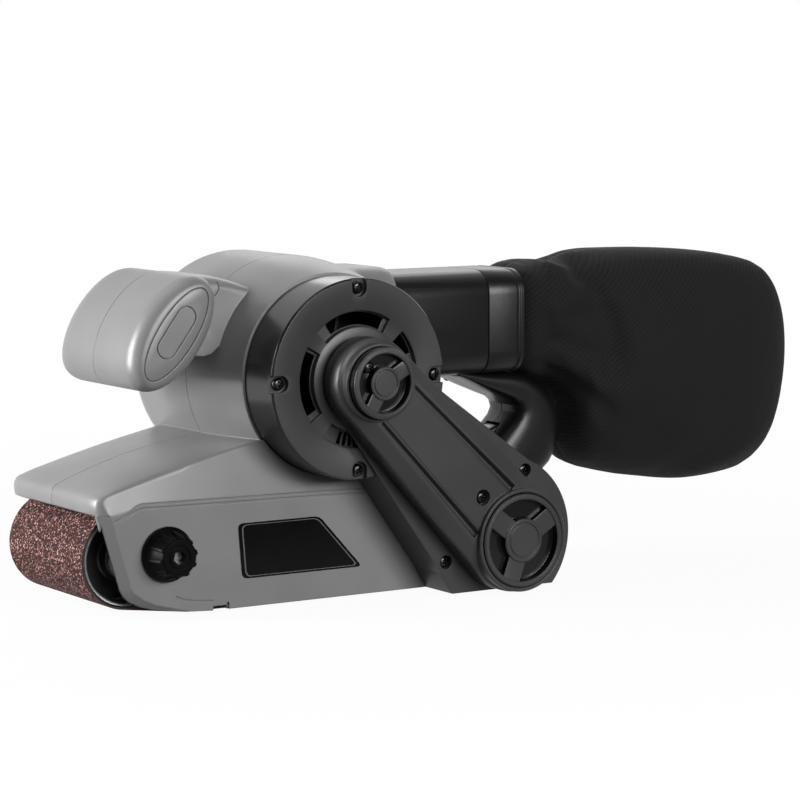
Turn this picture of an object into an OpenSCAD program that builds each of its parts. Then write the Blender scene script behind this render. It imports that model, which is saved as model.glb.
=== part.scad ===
// Handheld belt sander: a flat sanding frame with two rollers, a motor lying across
// the tool above it, a toothed belt drive under a cover on the left side, a front
// grip, a rear D-handle with the trigger, and a dust duct with a cloth bag.
// X runs along the tool, with the nose at -X and the bag at +X. Y runs across it,
// with the drive cover at -Y. Z = 0 is the working face of the sanding belt, and
// the origin is the middle of the platen.

/* [Sanding belt and rollers] */
// Width of the sanding belt
belt_w = 76; // [66:1:84]
// Thickness of the sanding belt
belt_t = 1.0; // [0.8:0.1:1.2]
// Distance between the two roller axes
axle_span = 187.5; // [184:0.5:196]
// Diameter of the front roller
front_roller_d = 44; // [40:0.5:45]
// Diameter of the rubber-lagged drive roller
drive_roller_d = 51; // [46:0.5:52]
// Thickness of the rubber lagging
lagging_t = 2.5; // [1.5:0.25:4]
// Height of the front roller's underside above the drive roller's
front_lift = 4.1; // [2:0.1:5]
// Diameter of the front axle
front_axle_d = 10; // [8:0.5:12]
// Diameter of the drive shaft
drive_shaft_d = 12; // [10:0.5:13]
// Length of the flat platen
platen_l = 124; // [110:1:126]
// Thickness of the steel platen
platen_t = 2.5; // [2:0.25:3]
// Thickness of the graphite slip pad
pad_t = 1.2; // [0.8:0.1:1.6]

/* [Housing] */
// Distance from the belt's centre plane to the left side wall
wall_y = 47.3; // [46:0.1:50]
// Distance from the centre plane to the open right side
open_y = 45; // [44:0.5:48]
// Wall thickness of the moulded shells
shell_t = 3; // [2:0.25:3.5]
// Distance from the front axle to the tip of the nose
nose_reach = 19.5; // [18.5:0.5:26]
// Height of the nose's lower edge
nose_z = 49; // [48.5:0.5:51]
// Height of the nose's upper edge
brow_z = 59; // [57.5:0.5:62]
// Height of the deck where it meets the motor barrel
deck_z = 78.4; // [76:0.2:82]
// Radius of the rear hood around the drive roller
hood_r = 37; // [36:0.5:39]

/* [Motor] */
// Distance from the origin to the motor axis, along the tool
motor_x = 13.4; // [10:0.2:16]
// Height of the motor axis
motor_z = 107.3; // [106:0.1:110]
// Largest radius of the motor barrel, at the centre plane
barrel_r = 55; // [53.5:0.5:56]
// Radius of the motor barrel at its left end
barrel_end_r = 48.6; // [48.2:0.1:50]
// Radius of the rounded right end of the motor barrel
dome_r = 22; // [18:0.5:22]
// Distance from the centre plane to the right end
right_end_y = 68; // [66:0.5:74]
// Diameter of the armature laminations
rotor_d = 42; // [36:1:44]
// Length of the laminations
core_l = 40; // [34:1:42]
// Outer diameter of the stator
stator_d = 74; // [70:1:76]
// Diameter of the armature shaft
motor_shaft_d = 8; // [7:0.5:9]
// Number of fan blades
fan_blades = 9; // [7:1:13]

/* [Motor flange] */
// Radius of the black end flange
flange_r = 47.5; // [47:0.1:48]
// Distance from the centre plane to the flange's seat
flange_seat_y = 43; // [42:0.5:44]
// Distance from the centre plane to the flange's face
flange_y = 68.2; // [67:0.2:70]
// Outer radius of the air inlet channel
vent_r = 32; // [30:0.5:34]
// Width of the air inlet channel
vent_w = 7.5; // [6:0.25:8.5]
// Number of screws round the flange
flange_screw_n = 4; // [3:1:6]
// Radius of the flange's screw circle
flange_screw_r = 43; // [42.5:0.1:43.2]

/* [Belt drive] */
// Teeth on the motor pulley
motor_teeth = 12; // [12:1:14]
// Teeth on the driven pulley
driven_teeth = 42; // [38:1:43]
// Pitch of the toothed belt
tooth_pitch = 3; // [2.9:0.05:3.05]
// Width of the toothed belt
drive_belt_w = 9; // [7:0.5:9.5]
// Distance from the centre plane to the joint between case and cover
case_y = 70.4; // [70:0.1:72]
// Distance from the centre plane to the face of the cover's arm
cover_y = 85; // [84.5:0.1:87]
// Radius of the cover round the motor pulley
cover_motor_r = 20.6; // [19.5:0.1:21.5]
// Radius of the cover round the driven pulley
cover_roller_r = 25.7; // [25:0.1:26.2]
// Radius of the small hub cap
motor_cap_r = 16.7; // [15:0.1:17.5]
// Distance from the centre plane to the small cap's face
motor_cap_y = 91.2; // [90:0.1:93]
// Radius of the large hub cap
roller_cap_r = 22.6; // [21:0.1:23.5]
// Distance from the centre plane to the large cap's face
roller_cap_y = 88.4; // [88:0.1:90]
// Radius of the drive case's rear disc
case_disc_r = 39; // [38:0.5:40]

/* [Tracking and tension] */
// Distance of the tracking knob behind the front axle
knob_back = 15.2; // [14:0.2:17]
// Radius of the tracking knob's base
knob_r = 12.9; // [11:0.1:14]
// Length of the tracking knob
knob_l = 13; // [11:0.5:16]
// How far the front roller draws back when the lever is pulled
tension_travel = 6; // [4:0.5:7]
// Length of the belt release lever
lever_l = 62; // [50:1:64]

/* [Dust duct and bag] */
// Width of the dust duct
duct_w = 50; // [44:1:54]
// Height of the duct's underside
duct_z = 99.5; // [98:0.5:101]
// Height of the duct
duct_h = 52.5; // [50:0.5:54]
// Distance from the motor axis to the duct's joint with the collar
duct_reach = 103; // [100:0.5:108]
// Length of the bag's collar outside the duct
collar_l = 22; // [19:0.5:26]
// Length of the dust bag
bag_l = 190; // [170:1:210]
// Height of the dust bag
bag_h = 124; // [116:1:130]
// Thickness of the filled dust bag
bag_w = 78; // [60:1:90]

/* [Handles] */
// Half the length of the front grip
grip_half_l = 40; // [36:0.5:44]
// Half the thickness of the front grip's section
grip_r = 16; // [15:0.25:17]
// Length of the front grip's section
grip_long = 65; // [60:0.5:67]
// Radius of the front grip's section at its two ends
grip_end_r = 10; // [8:0.5:11]
// Lean of the front grip's section
grip_lean = 36; // [32:1:40]
// Half the width of the rear D-handle
handle_half_w = 17; // [16:0.5:19]
// Width of the trigger
trigger_w = 12; // [10:0.5:14]
// Angle through which the trigger turns
trigger_swing = 9; // [7:0.5:10]
// Diameter of the cord that the gland takes
cord_d = 8; // [7:0.25:8.5]

/* [Clearances] */
// Gap between the sanding belt and the rollers and pad
belt_gap = 0.4; // [0.35:0.01:0.5]
// Radial running fit of shafts and pins
run_fit = 0.05; // [0.02:0.01:0.09]
// Gap between parts that move past each other
slide_gap = 0.3; // [0.25:0.01:0.5]

/* [Hidden] */
$fn = 64;

cut = 1;                      // how far a cutting solid runs past the face it opens
crossing = 0.01;              // how far a round stands past the straight run that it meets
reach = 300;                  // size of the solids that keep or cut everything on one side
belt_half = belt_w / 2;
front_r = front_roller_d / 2;
drive_r = drive_roller_d / 2;
front_x = -axle_span / 2;
rear_x = axle_span / 2;
rear_z = drive_r + belt_gap + belt_t;
front_z = front_r + belt_gap + belt_t + front_lift;
bend_r = 4;                   // radius of the belt's bend at the platen's front edge
platen_front = -platen_l / 2;
platen_rear = platen_l / 2;
pad_z = belt_t + belt_gap;
plate_z = pad_z + pad_t;
frame_z = plate_z + platen_t;
bend_z = belt_t + bend_r;

front = [front_x, front_z];
rear = [rear_x, rear_z];
bend = [platen_front, bend_z];
motor = [motor_x, motor_z];

// ---- helpers -------------------------------------------------------------

// Extrudes an outline drawn in X and Z, from y0 to y1 across the tool.
module across(y0, y1) {
    translate([0, y1, 0]) rotate([90, 0, 0]) linear_extrude(y1 - y0) children();
}

// Extrudes an outline drawn in Y and Z, from x0 to x1 along the tool.
module along(x0, x1) {
    translate([x0, 0, 0]) rotate([90, 0, 90]) linear_extrude(x1 - x0) children();
}

// A cylinder across the tool at the point p of the XZ plane.
module rod(p, r, y0, y1) {
    translate([p[0], y1, p[1]]) rotate([90, 0, 0]) cylinder(h = y1 - y0, r = r);
}

// A tube across the tool.
module ring(p, r_out, r_in, y0, y1) {
    difference() {
        rod(p, r_out, y0, y1);
        rod(p, r_in, y0 - cut, y1 + cut);
    }
}

// Turns an outline of radius and distance from the centre plane about a cross axis.
module turned(p, side) {
    translate([p[0], 0, p[1]]) mirror([0, side > 0 ? 1 : 0, 0])
        rotate([90, 0, 0]) rotate_extrude() children();
}

// The tangent points of two circles, on the right of the way from c1 to c2.
function tangent(c1, r1, c2, r2) =
    let (d = c2 - c1, a = atan2(d[1], d[0]) - acos((r1 - r2) / norm(d)))
    [c1 + r1 * [cos(a), sin(a)], c2 + r2 * [cos(a), sin(a)]];

// The outline of a band drawn tight round circles, each [centre, radius], that
// are listed anticlockwise.
module band(circles) {
    n = len(circles);
    polygon([for (i = [0 : n - 1]) each
        tangent(circles[i][0], circles[i][1],
            circles[(i + 1) % n][0], circles[(i + 1) % n][1])]);
    for (c = circles) translate(c[0]) circle(c[1] + crossing);
}

// A slot outline between two points.
module slot(p, q, r) {
    band([[p, r], [q, r]]);
}

// A rectangle with rounded corners, from its lowest corner.
module rounded(x0, y0, w, h, r) {
    translate([x0 + r, y0]) square([w - 2 * r, h]);
    translate([x0, y0 + r]) square([w, h - 2 * r]);
    for (x = [x0 + r, x0 + w - r], y = [y0 + r, y0 + h - r]) translate([x, y]) circle(r);
}

// A closed coil of round wire along +Z, swept along its own helix.
module coil(r, wire_r, h, turns) {
    sides = 6;
    steps = 12 * turns;
    function ring_at(i) = let (a = 360 * turns * i / steps, z = wire_r + (h - 2 * wire_r) * i / steps)
        [for (k = [0 : sides - 1]) let (b = 360 * k / sides, q = r + wire_r * cos(b))
            [q * cos(a), q * sin(a), z + wire_r * sin(b)]];
    pts = [for (i = [0 : steps]) each ring_at(i)];
    walls = [for (i = [0 : steps - 1], k = [0 : sides - 1]) let (n = (k + 1) % sides)
        [i * sides + k, i * sides + n, (i + 1) * sides + n, (i + 1) * sides + k]];
    first = [[for (k = [sides - 1 : -1 : 0]) k]];
    last = [[for (k = [0 : sides - 1]) steps * sides + k]];
    polyhedron(pts, concat(first, walls, last), convexity = 10);
}

// A pan-head screw across the tool. The head stands on y, on the given side.
module screw(p, y, side, head_r, head_h, shank_r, shank_l) {
    rod(p, head_r, side > 0 ? y : y - head_h, side > 0 ? y + head_h : y);
    rod(p, shank_r, side > 0 ? y - shank_l : y, side > 0 ? y : y + shank_l);
}

// Everything above the height z, as an outline or as a solid.
module above(z) {
    translate([-reach, z]) square([2 * reach, reach]);
}

module above_solid(z) {
    translate([-reach, -reach, z]) cube([2 * reach, 2 * reach, reach]);
}

// Everything on one side of the centre plane.
module half_space(side) {
    translate([-reach, side > 0 ? 0 : -reach, 0]) cube([2 * reach, reach, reach]);
}

// ---- sanding belt and rollers ---------------------------------------------

// The belt's path round both rollers and the platen's front edge, grown by e.
module belt_path(e) {
    band([[front, front_r + belt_gap + e], [bend, bend_r + e], [rear, drive_r + belt_gap + e]]);
}

module sanding_belt() {
    color("#7a463c") across(-belt_half, belt_half) difference() {
        belt_path(belt_t);
        belt_path(0);
    }
}

roller_half = belt_half - 0.5;
bearing_w = 12;               // length of the front roller's needle bearings
front_bearing_r = front_axle_d / 2 + 3;
hub_dish = 6;                 // depth of the dish in each end of the front roller
rim_t = 4;                    // thickness of the front roller's rim

module front_roller() {
    color("#b9babb") difference() {
        rod(front, front_r, -roller_half, roller_half);
        for (s = [-1, 1]) {
            y = s > 0 ? roller_half - hub_dish : -roller_half - cut;
            difference() {
                rod(front, front_r - rim_t, y, y + hub_dish + cut);
                rod(front, front_bearing_r + 2, y - cut, y + hub_dish + 2 * cut);
            }
        }
        rod(front, front_bearing_r, -roller_half - cut, roller_half + cut);
    }
}

module roller_bearings() {
    color("silver") for (y = [-roller_half, roller_half - bearing_w])
        ring(front, front_bearing_r, front_axle_d / 2 + run_fit, y, y + bearing_w);
}

module drive_roller() {
    color("#a8a9ab") ring(rear, drive_r - lagging_t, drive_shaft_d / 2, -roller_half, roller_half);
}

module roller_lagging() {
    color("#202020") ring(rear, drive_r, drive_r - lagging_t, -roller_half, roller_half);
}

// ---- front fork, tension rod and tracking ----------------------------------

arm_t = 3;
arm_gap = 1;                  // gap between the roller's end and the fork arm
arm_y = roller_half + arm_gap;
web_x = front_x + front_r + 4;
web_t = 4;
web_h = 20;
tongue_half = 4;
ear_t = 4;
pivot_x = web_x + 10;
pivot_r = 3;
rod_r = 6;
frame_front = pivot_x + 6 + tension_travel + 2;
rod_end = frame_front + 28;
spring_l = 22;
spring_seat_r = 3;
knob = [front_x + knob_back, front_z + 2.5];
screw_r = 3;
tracking_gap = 0.5;            // gap between the fork and the tracking screw's tip

module front_axle() {
    color("silver") rod(front, front_axle_d / 2, -arm_y - arm_t - 1, arm_y + arm_t + 1);
}

module roller_fork() {
    arm_h = web_h;
    color("#8d8f92") {
        difference() {
            union() {
                for (y = [-arm_y - arm_t, arm_y]) across(y, y + arm_t) {
                    translate([front_x, front_z - arm_h / 2]) square([web_x + web_t - front_x, arm_h]);
                    translate(front) circle(arm_h / 2);
                }
                translate([web_x, -arm_y - arm_t, front_z - web_h / 2])
                    cube([web_t, 2 * (arm_y + arm_t), web_h]);
                for (z = [front_z - tongue_half - slide_gap - ear_t, front_z + tongue_half + slide_gap])
                    translate([0, 0, z]) linear_extrude(ear_t) {
                        translate([web_x + web_t / 2, -6]) square([pivot_x - web_x - web_t / 2, 12]);
                        translate([pivot_x, 0]) circle(6);
                    }
            }
            rod(front, front_axle_d / 2, -arm_y - arm_t - cut, arm_y + arm_t + cut);
            translate([pivot_x, 0, front_z - web_h]) cylinder(h = 2 * web_h, r = pivot_r);
        }
    }
}

module fork_pin() {
    h = tongue_half + slide_gap + ear_t;
    color("silver") translate([pivot_x, 0, front_z - h]) cylinder(h = 2 * h, r = pivot_r);
}

module tension_rod() {
    color("silver") difference() {
        union() {
            translate([pivot_x, 0, front_z - tongue_half]) linear_extrude(2 * tongue_half) {
                circle(5.5);
                translate([0, -5.5]) square([8, 11]);
            }
            translate([pivot_x + 8, 0, front_z]) rotate([0, 90, 0])
                cylinder(h = rod_end - pivot_x - 8, r = rod_r);
            translate([rod_end, 0, front_z]) rotate([0, 90, 0]) cylinder(h = 8, r = spring_seat_r);
        }
        translate([pivot_x, 0, front_z - web_h]) cylinder(h = 2 * web_h, r = pivot_r + run_fit);
    }
}

module tension_spring() {
    color("#5c6068") translate([rod_end + slide_gap, 0, front_z]) rotate([0, 90, 0])
        coil(spring_seat_r + 1.4, 0.8, spring_l - slide_gap, 6);
}

knob_y = wall_y + slide_gap;  // inner face of the knob

module tracking_knob() {
    tip_r = knob_r * 0.68;
    socket_r = 3.2;
    color("#1b1b1b") difference() {
        union() {
            turned(knob, -1) difference() {
                polygon([[0, knob_y], [knob_r, knob_y], [knob_r, knob_y + 2.5], [knob_r - 2.2, knob_y + 4],
                    [tip_r, knob_y + knob_l], [0, knob_y + knob_l]]);
                translate([-cut, 0]) square([screw_r + cut, knob_y + knob_l - 4]);
            }
            for (k = [0 : 9]) translate([knob[0], 0, knob[1]]) rotate([0, k * 36, 0])
                translate([tip_r - 1, -knob_y - knob_l + 1, -1]) cube([2, knob_l - 4, 2]);
        }
        translate([knob[0], -knob_y - knob_l + 3, knob[1]]) rotate([90, 0, 0])
            cylinder(h = knob_l, r = socket_r, $fn = 6);
    }
}

module tracking_screw() {
    color("silver") rod(knob, screw_r, -knob_y - knob_l + 4, -arm_y - arm_t - tracking_gap);
}

lever_pivot = [frame_front + 11, 34];
lever_h = 14;
lever_t = 5;
lever_hub_r = 6;
lever_z = front_z - lever_h / 2;
lever_ear_t = 5;
lever_pin_r = 3;

module release_lever() {
    color("#2a2a2c") difference() {
        translate([0, 0, lever_z]) linear_extrude(lever_h) {
            translate(lever_pivot) circle(lever_hub_r);
            translate([lever_pivot[0], lever_pivot[1] + 1]) square([lever_l, lever_t]);
            translate([lever_pivot[0] + lever_l - 5, lever_pivot[1] + 1]) square([5, lever_t + 4]);
        }
        translate([lever_pivot[0], lever_pivot[1], lever_z - cut])
            cylinder(h = lever_h + 2 * cut, r = lever_pin_r + run_fit);
    }
}

module lever_pin() {
    h = lever_h + 2 * (slide_gap + lever_ear_t);
    color("silver") translate([lever_pivot[0], lever_pivot[1], front_z - h / 2])
        cylinder(h = h, r = lever_pin_r);
}

// ---- main frame and platen --------------------------------------------------

beam_rear = platen_rear - 4;
frame_y0 = wall_y - shell_t;  // the frame's left plate lies against the side wall
plate_t = 4;
beam_y = belt_half - 10;      // right face of the central beam
beam_z = front_z + 15;
far_arm_y = belt_half + 1;
far_arm_t = open_y - far_arm_y - 0.5;
bearing_r = 16;               // outer radius of the drive shaft bearings
bearing_t = 5;

module frame_left_plate() {
    across(-frame_y0, -frame_y0 + plate_t) difference() {
        union() {
            translate([frame_front, frame_z]) square([beam_rear - frame_front, beam_z - frame_z]);
            band([[[beam_rear - 14, rear_z], 12], [rear, drive_shaft_d / 2 + 8]]);
        }
        translate(rear) circle(drive_shaft_d / 2 + 2);
    }
}

module main_frame() {
    color("#9a9c9f") difference() {
        union() {
            frame_left_plate();
            // plate under the beam, which the platen is fixed to
            translate([platen_front + 3, -belt_half + 1, frame_z])
                cube([beam_rear - platen_front - 3, 2 * belt_half - 2, 4]);
            // beam between the upper and the lower run of the belt
            translate([frame_front, -frame_y0 + plate_t / 2, frame_z])
                cube([beam_rear - frame_front, frame_y0 - plate_t / 2 + beam_y, beam_z - frame_z]);
            // bridge and arm to the drive shaft's right bearing
            translate([beam_rear - 14, beam_y - 2, frame_z])
                cube([14, far_arm_y + far_arm_t - beam_y + 2, beam_z - frame_z]);
            across(far_arm_y, far_arm_y + far_arm_t)
                band([[[beam_rear - 7, rear_z], 14], [rear, bearing_r + 4]]);
            // ears of the release lever
            for (z = [lever_z - slide_gap - lever_ear_t, lever_z + lever_h + slide_gap])
                translate([lever_pivot[0] - 7, beam_y - 2, z])
                    cube([14, lever_pivot[1] + 6 - beam_y, lever_ear_t]);
        }
        // pockets that lighten the casting
        for (y = [-frame_y0 + plate_t, 8]) translate([rod_end + spring_l + 4, y, frame_z + 5])
            cube([beam_rear - 16 - rod_end - spring_l - 4, beam_y - 3 - 8, beam_z]);
        // bore of the tension rod and its spring
        translate([frame_front - cut, 0, front_z]) rotate([0, 90, 0])
            cylinder(h = rod_end + spring_l - frame_front + cut, r = rod_r + run_fit);
        translate([lever_pivot[0], lever_pivot[1], lever_z - slide_gap - lever_ear_t - cut])
            cylinder(h = lever_h + 2 * (slide_gap + lever_ear_t + cut), r = lever_pin_r);
        rod(rear, bearing_r, far_arm_y - cut, far_arm_y + bearing_t);
        rod(rear, drive_shaft_d / 2 + 1, far_arm_y, far_arm_y + far_arm_t + cut);
    }
}

module platen_plate() {
    color("#c2c4c6") across(-belt_half + 1, belt_half - 1) {
        translate([platen_front, plate_z]) square([platen_l, platen_t]);
        translate(bend) circle(bend_z - plate_z);
    }
}

module platen_pad() {
    color("#3c3c3e") across(-belt_half + 1, belt_half - 1) {
        translate([platen_front, pad_z]) square([platen_l, pad_t]);
        intersection() {
            difference() {
                translate(bend) circle(bend_z - pad_z);
                translate(bend) circle(bend_z - plate_z);
            }
            translate([platen_front - bend_r, pad_z - cut]) square([bend_r, bend_z - pad_z + cut]);
        }
    }
}

// ---- belt drive -------------------------------------------------------------

motor_pitch_r = motor_teeth * tooth_pitch / (2 * PI);
driven_pitch_r = driven_teeth * tooth_pitch / (2 * PI);
drive_belt_t = 1.4;
pulley_y0 = case_y + 0.8;
pulley_y1 = pulley_y0 + drive_belt_w + 1;
case_bearing_y = case_y - 9;

module toothed(n, r, depth) {
    polygon([for (i = [0 : n - 1]) each let (a = 360 / n)
        [for (k = [[-0.30, r - depth], [-0.18, r], [0.18, r], [0.30, r - depth]])
            k[1] * [cos((i + k[0]) * a), sin((i + k[0]) * a)]]]);
}

module pulley(p, n, pitch_r, bore_r) {
    across(-pulley_y1, -pulley_y0) translate(p) difference() {
        toothed(n, pitch_r - slide_gap, 1);
        circle(bore_r);
    }
}

module driven_pulley() {
    color("#8e8f91") pulley(rear, driven_teeth, driven_pitch_r, drive_shaft_d / 2);
}

module motor_pulley() {
    color("#8e8f91") pulley(motor, motor_teeth, motor_pitch_r, motor_shaft_d / 2);
}

module timing_belt() {
    y0 = (pulley_y0 + pulley_y1 - drive_belt_w) / 2;
    color("#151515") across(-y0 - drive_belt_w, -y0) difference() {
        band([[motor, motor_pitch_r + drive_belt_t], [rear, driven_pitch_r + drive_belt_t]]);
        band([[motor, motor_pitch_r], [rear, driven_pitch_r]]);
    }
}

module drive_shaft() {
    color("silver") rod(rear, drive_shaft_d / 2, -pulley_y1, far_arm_y + bearing_t);
}

module drive_bearings() {
    color("#b8bcc0") {
        ring(rear, bearing_r, drive_shaft_d / 2 + run_fit, far_arm_y, far_arm_y + bearing_t);
        ring(rear, bearing_r, drive_shaft_d / 2 + run_fit, -case_bearing_y, -case_bearing_y + 10);
    }
}

// ---- motor --------------------------------------------------------------------

core_half = core_l / 2;
winding_l = 7;
rotor_r = rotor_d / 2;
stator_r = stator_d / 2;
shaft_r = motor_shaft_d / 2;
air_gap = 0.5;
motor_bearing_r = 11;
motor_bearing_t = 8;
near_bearing_y = flange_y - 5;
far_bearing_y = right_end_y - shell_t - 1;
commutator_r = 11;
commutator_y = core_half + winding_l + 5;
commutator_l = 14;
brush_y = commutator_y + commutator_l / 2;
brush_angles = [150, -30];
fan_r = 37;
fan_y = flange_seat_y - 2;

module armature_shaft() {
    color("silver") rod(motor, shaft_r, -pulley_y1, far_bearing_y);
}

module rotor_core() {
    color("#6f7378") ring(motor, rotor_r, shaft_r, -core_half, core_half);
}

module armature_windings() {
    color("#b06a34") for (y = [-core_half - winding_l, core_half])
        ring(motor, rotor_r - 5, shaft_r, y, y + winding_l);
}

module commutator() {
    color("#b87333") ring(motor, commutator_r, shaft_r, commutator_y, commutator_y + commutator_l);
}

module cooling_fan() {
    color("#303236") difference() {
        union() {
            rod(motor, shaft_r + 4, -fan_y, -fan_y + 10);
            rod(motor, fan_r, -fan_y + 8, -fan_y + 10);
            for (k = [0 : fan_blades - 1]) translate([motor_x, -fan_y, motor_z])
                rotate([0, k * 360 / fan_blades, 0]) translate([12, 0, -0.8]) cube([fan_r - 13, 9, 1.6]);
        }
        rod(motor, shaft_r, -fan_y - cut, -fan_y + 10 + cut);
    }
}

module motor_bearings() {
    color("#b8bcc0") {
        ring(motor, motor_bearing_r, shaft_r + run_fit, -near_bearing_y, -near_bearing_y + motor_bearing_t);
        ring(motor, motor_bearing_r, shaft_r + run_fit, far_bearing_y - motor_bearing_t, far_bearing_y);
    }
}

module stator_core() {
    color("#777b80") ring(motor, stator_r, rotor_r + air_gap, -core_half, core_half);
}

module field_coils() {
    color("#a85f2c") for (y = [-core_half - winding_l + 1, core_half])
        ring(motor, stator_r - 4, rotor_r + 3, y, y + winding_l - 1);
}

holder_r = 6.5;
brush_r = 4;
brush_l = 16;
cap_t = 4;

// Places its children along a radius of the motor at the brushes, as +Z.
module at_brushes() {
    for (a = brush_angles) translate([motor_x, brush_y, motor_z]) rotate([0, 90 - a, 0]) children();
}

module brush_holders() {
    color("#2b2b2b") at_brushes() difference() {
        translate([0, 0, commutator_r + 1.5]) cylinder(h = barrel_r - cap_t - 1 - commutator_r - 1.5, r = holder_r);
        cylinder(h = barrel_r, r = brush_r + run_fit);
    }
}

module carbon_brushes() {
    color("#3a3a3a") at_brushes() translate([0, 0, commutator_r + slide_gap])
        cylinder(h = brush_l, r = brush_r);
}

module brush_caps() {
    color("#1a1a1a") at_brushes() difference() {
        translate([0, 0, barrel_r - cap_t - 1]) cylinder(h = cap_t, r = holder_r);
        translate([-holder_r - cut, -0.8, barrel_r - 2.5]) cube([2 * holder_r + 2 * cut, 1.6, 3]);
    }
}

// ---- motor flange, drive case and belt cover -----------------------------------

flange_notch = 5;             // half the width of the notch round each screw
seat_t = 3;

function flange_screw_at(k) = motor + flange_screw_r * [cos(90 + k * 360 / flange_screw_n),
    sin(90 + k * 360 / flange_screw_n)];

module motor_flange() {
    face_t = 4;
    color("#2b2c2e") difference() {
        union() {
            ring(motor, flange_r, flange_r - shell_t, -flange_y, -flange_seat_y);
            rod(motor, flange_r, -flange_y, -flange_y + face_t);
            rod(motor, motor_bearing_r + seat_t, -flange_y, -near_bearing_y + motor_bearing_t);
            for (k = [0 : flange_screw_n - 1]) intersection() {
                rod(flange_screw_at(k), 5.5, -flange_y, -flange_seat_y);
                rod(motor, flange_r - 1, -flange_y, -flange_seat_y);
            }
        }
        // air inlet: a sunk channel with four open windows, and bars between them
        ring(motor, vent_r, vent_r - vent_w, -flange_y - cut, -flange_y + 2);
        difference() {
            ring(motor, vent_r, vent_r - vent_w, -flange_y - cut, -flange_y + face_t + cut);
            for (a = [45 : 90 : 315]) translate([motor_x, -flange_y - 2 * cut, motor_z]) rotate([0, a, 0])
                translate([0, 0, -6]) cube([vent_r + cut, face_t + 4 * cut, 12]);
        }
        rod(motor, motor_bearing_r, -near_bearing_y, -flange_seat_y);
        rod(motor, shaft_r + 1, -flange_y - cut, 0);
        rod(hub_screw, 1.7, -flange_y - cut, -flange_y + face_t);
        for (k = [0 : flange_screw_n - 1]) {
            rod(flange_screw_at(k), 1.7, -flange_y - cut, -flange_seat_y + cut);
            rod(flange_screw_at(k), 3.6, -flange_y - cut, -flange_y + 3);
        }
    }
}

module flange_screws() {
    color("#141414") for (k = [0 : flange_screw_n - 1])
        screw(flange_screw_at(k), -flange_y + 3, -1, 3.1, 2.2, 1.7, flange_y - flange_seat_y + 9);
}

// The case behind the cover: an arm from the motor and a disc round the drive shaft.
module case_outline() {
    intersection() {
        band([[motor, cover_motor_r - 1], [rear, case_disc_r - 1]]);
        union() {
            polygon([motor + [-60, -12], rear + [-90, -60], rear + [0, -60], rear, rear + [30, 30],
                motor + [20, 20]]);
            band([[motor, cover_motor_r - 1], [rear, cover_roller_r]]);
        }
        above(floor_gap);
    }
    intersection() {
        translate(rear) circle(case_disc_r);
        above(floor_gap);
    }
}

floor_gap = 1.2;              // gap between the side wall and the workpiece
case_screw_spots = [rear + [13, 31], rear + [-33, -10]];
cap_dish = 3.4;               // depth of the pockets in the hub caps
arm_screw = rear + [-21.5, 22];
hub_screw = motor + 11 * [cos(135), sin(135)];
hub_screw_y = motor_cap_y - cap_dish;

module drive_case() {
    color("#262729") difference() {
        across(-case_y, -wall_y) case_outline();
        // room for the motor flange, and hollow towards the housing
        rod(motor, flange_r + slide_gap, -flange_y, 0);
        difference() {
            across(-case_y + shell_t, -wall_y + cut) offset(delta = -shell_t) case_outline();
            rod(rear, bearing_r + 3, -case_y - cut, 0);
            for (p = case_screw_spots) rod(p, 4.5, -case_y, 0);
            rod(arm_screw, 4.5, -case_y, 0);
            difference() {
                rod(motor, flange_r + slide_gap + shell_t, -case_y, 0);
                rod(motor, flange_r + slide_gap, -case_y - cut, cut);
            }
        }
        rod(rear, bearing_r, -case_bearing_y, 0);
        rod(rear, drive_shaft_d / 2 + 1, -case_y - cut, 0);
        rod(motor, shaft_r + 1, -case_y - cut, 0);
        for (p = case_screw_spots) {
            rod(p, 1.7, -case_y - cut, 0);
            rod(p, 3.4, -case_y - cut, -case_y + 3);
        }
        for (p = [arm_screw, hub_screw]) rod(p, 1.7, -case_y - cut, 0);
    }
}

module case_screws() {
    color("#141414") for (p = case_screw_spots) screw(p, -case_y + 3, -1, 3.1, 2.2, 1.7, case_y - wall_y - 2);
}

module cover_outline() {
    band([[motor, cover_motor_r], [rear, cover_roller_r]]);
}

module belt_cover() {
    hub_y = motor_cap_y - 5;
    room = drive_belt_t + 1.2;
    color("#2e2f31") difference() {
        union() {
            across(-cover_y, -case_y) cover_outline();
            rod(motor, motor_cap_r + 1.2, -hub_y, -case_y);
        }
        across(-cover_y + 2.5, -case_y + cut)
            band([[motor, motor_pitch_r + room], [rear, driven_pitch_r + room]]);
        // grooves beside the raised strip
        for (s = [-1, 1]) across(-cover_y - cut, -cover_y + 1) {
            d = (rear - motor) / norm(rear - motor);
            n = [-d[1], d[0]] * s;
            slot(motor + d * 20 + n * 11, rear - d * 20 + n * 13.5, 1.2);
        }
        for (p = [arm_screw, hub_screw]) rod(p, 1.7, -motor_cap_y, 0);
        rod(arm_screw, 3.4, -cover_y - cut, -cover_y + 3);
        rod(motor, motor_cap_r, -hub_y - cut, -hub_y + 2);
        rod(rear, roller_cap_r, -cover_y - cut, -cover_y + 2);
    }
}

module cover_screws() {
    color("#141414") {
        screw(arm_screw, -cover_y + 3, -1, 3.1, 2.2, 1.7, cover_y - case_y + 7);
        screw(hub_screw, -hub_screw_y, -1, 2.8, 1.8, 1.7, hub_screw_y - flange_y + 3.6);
    }
}

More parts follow.
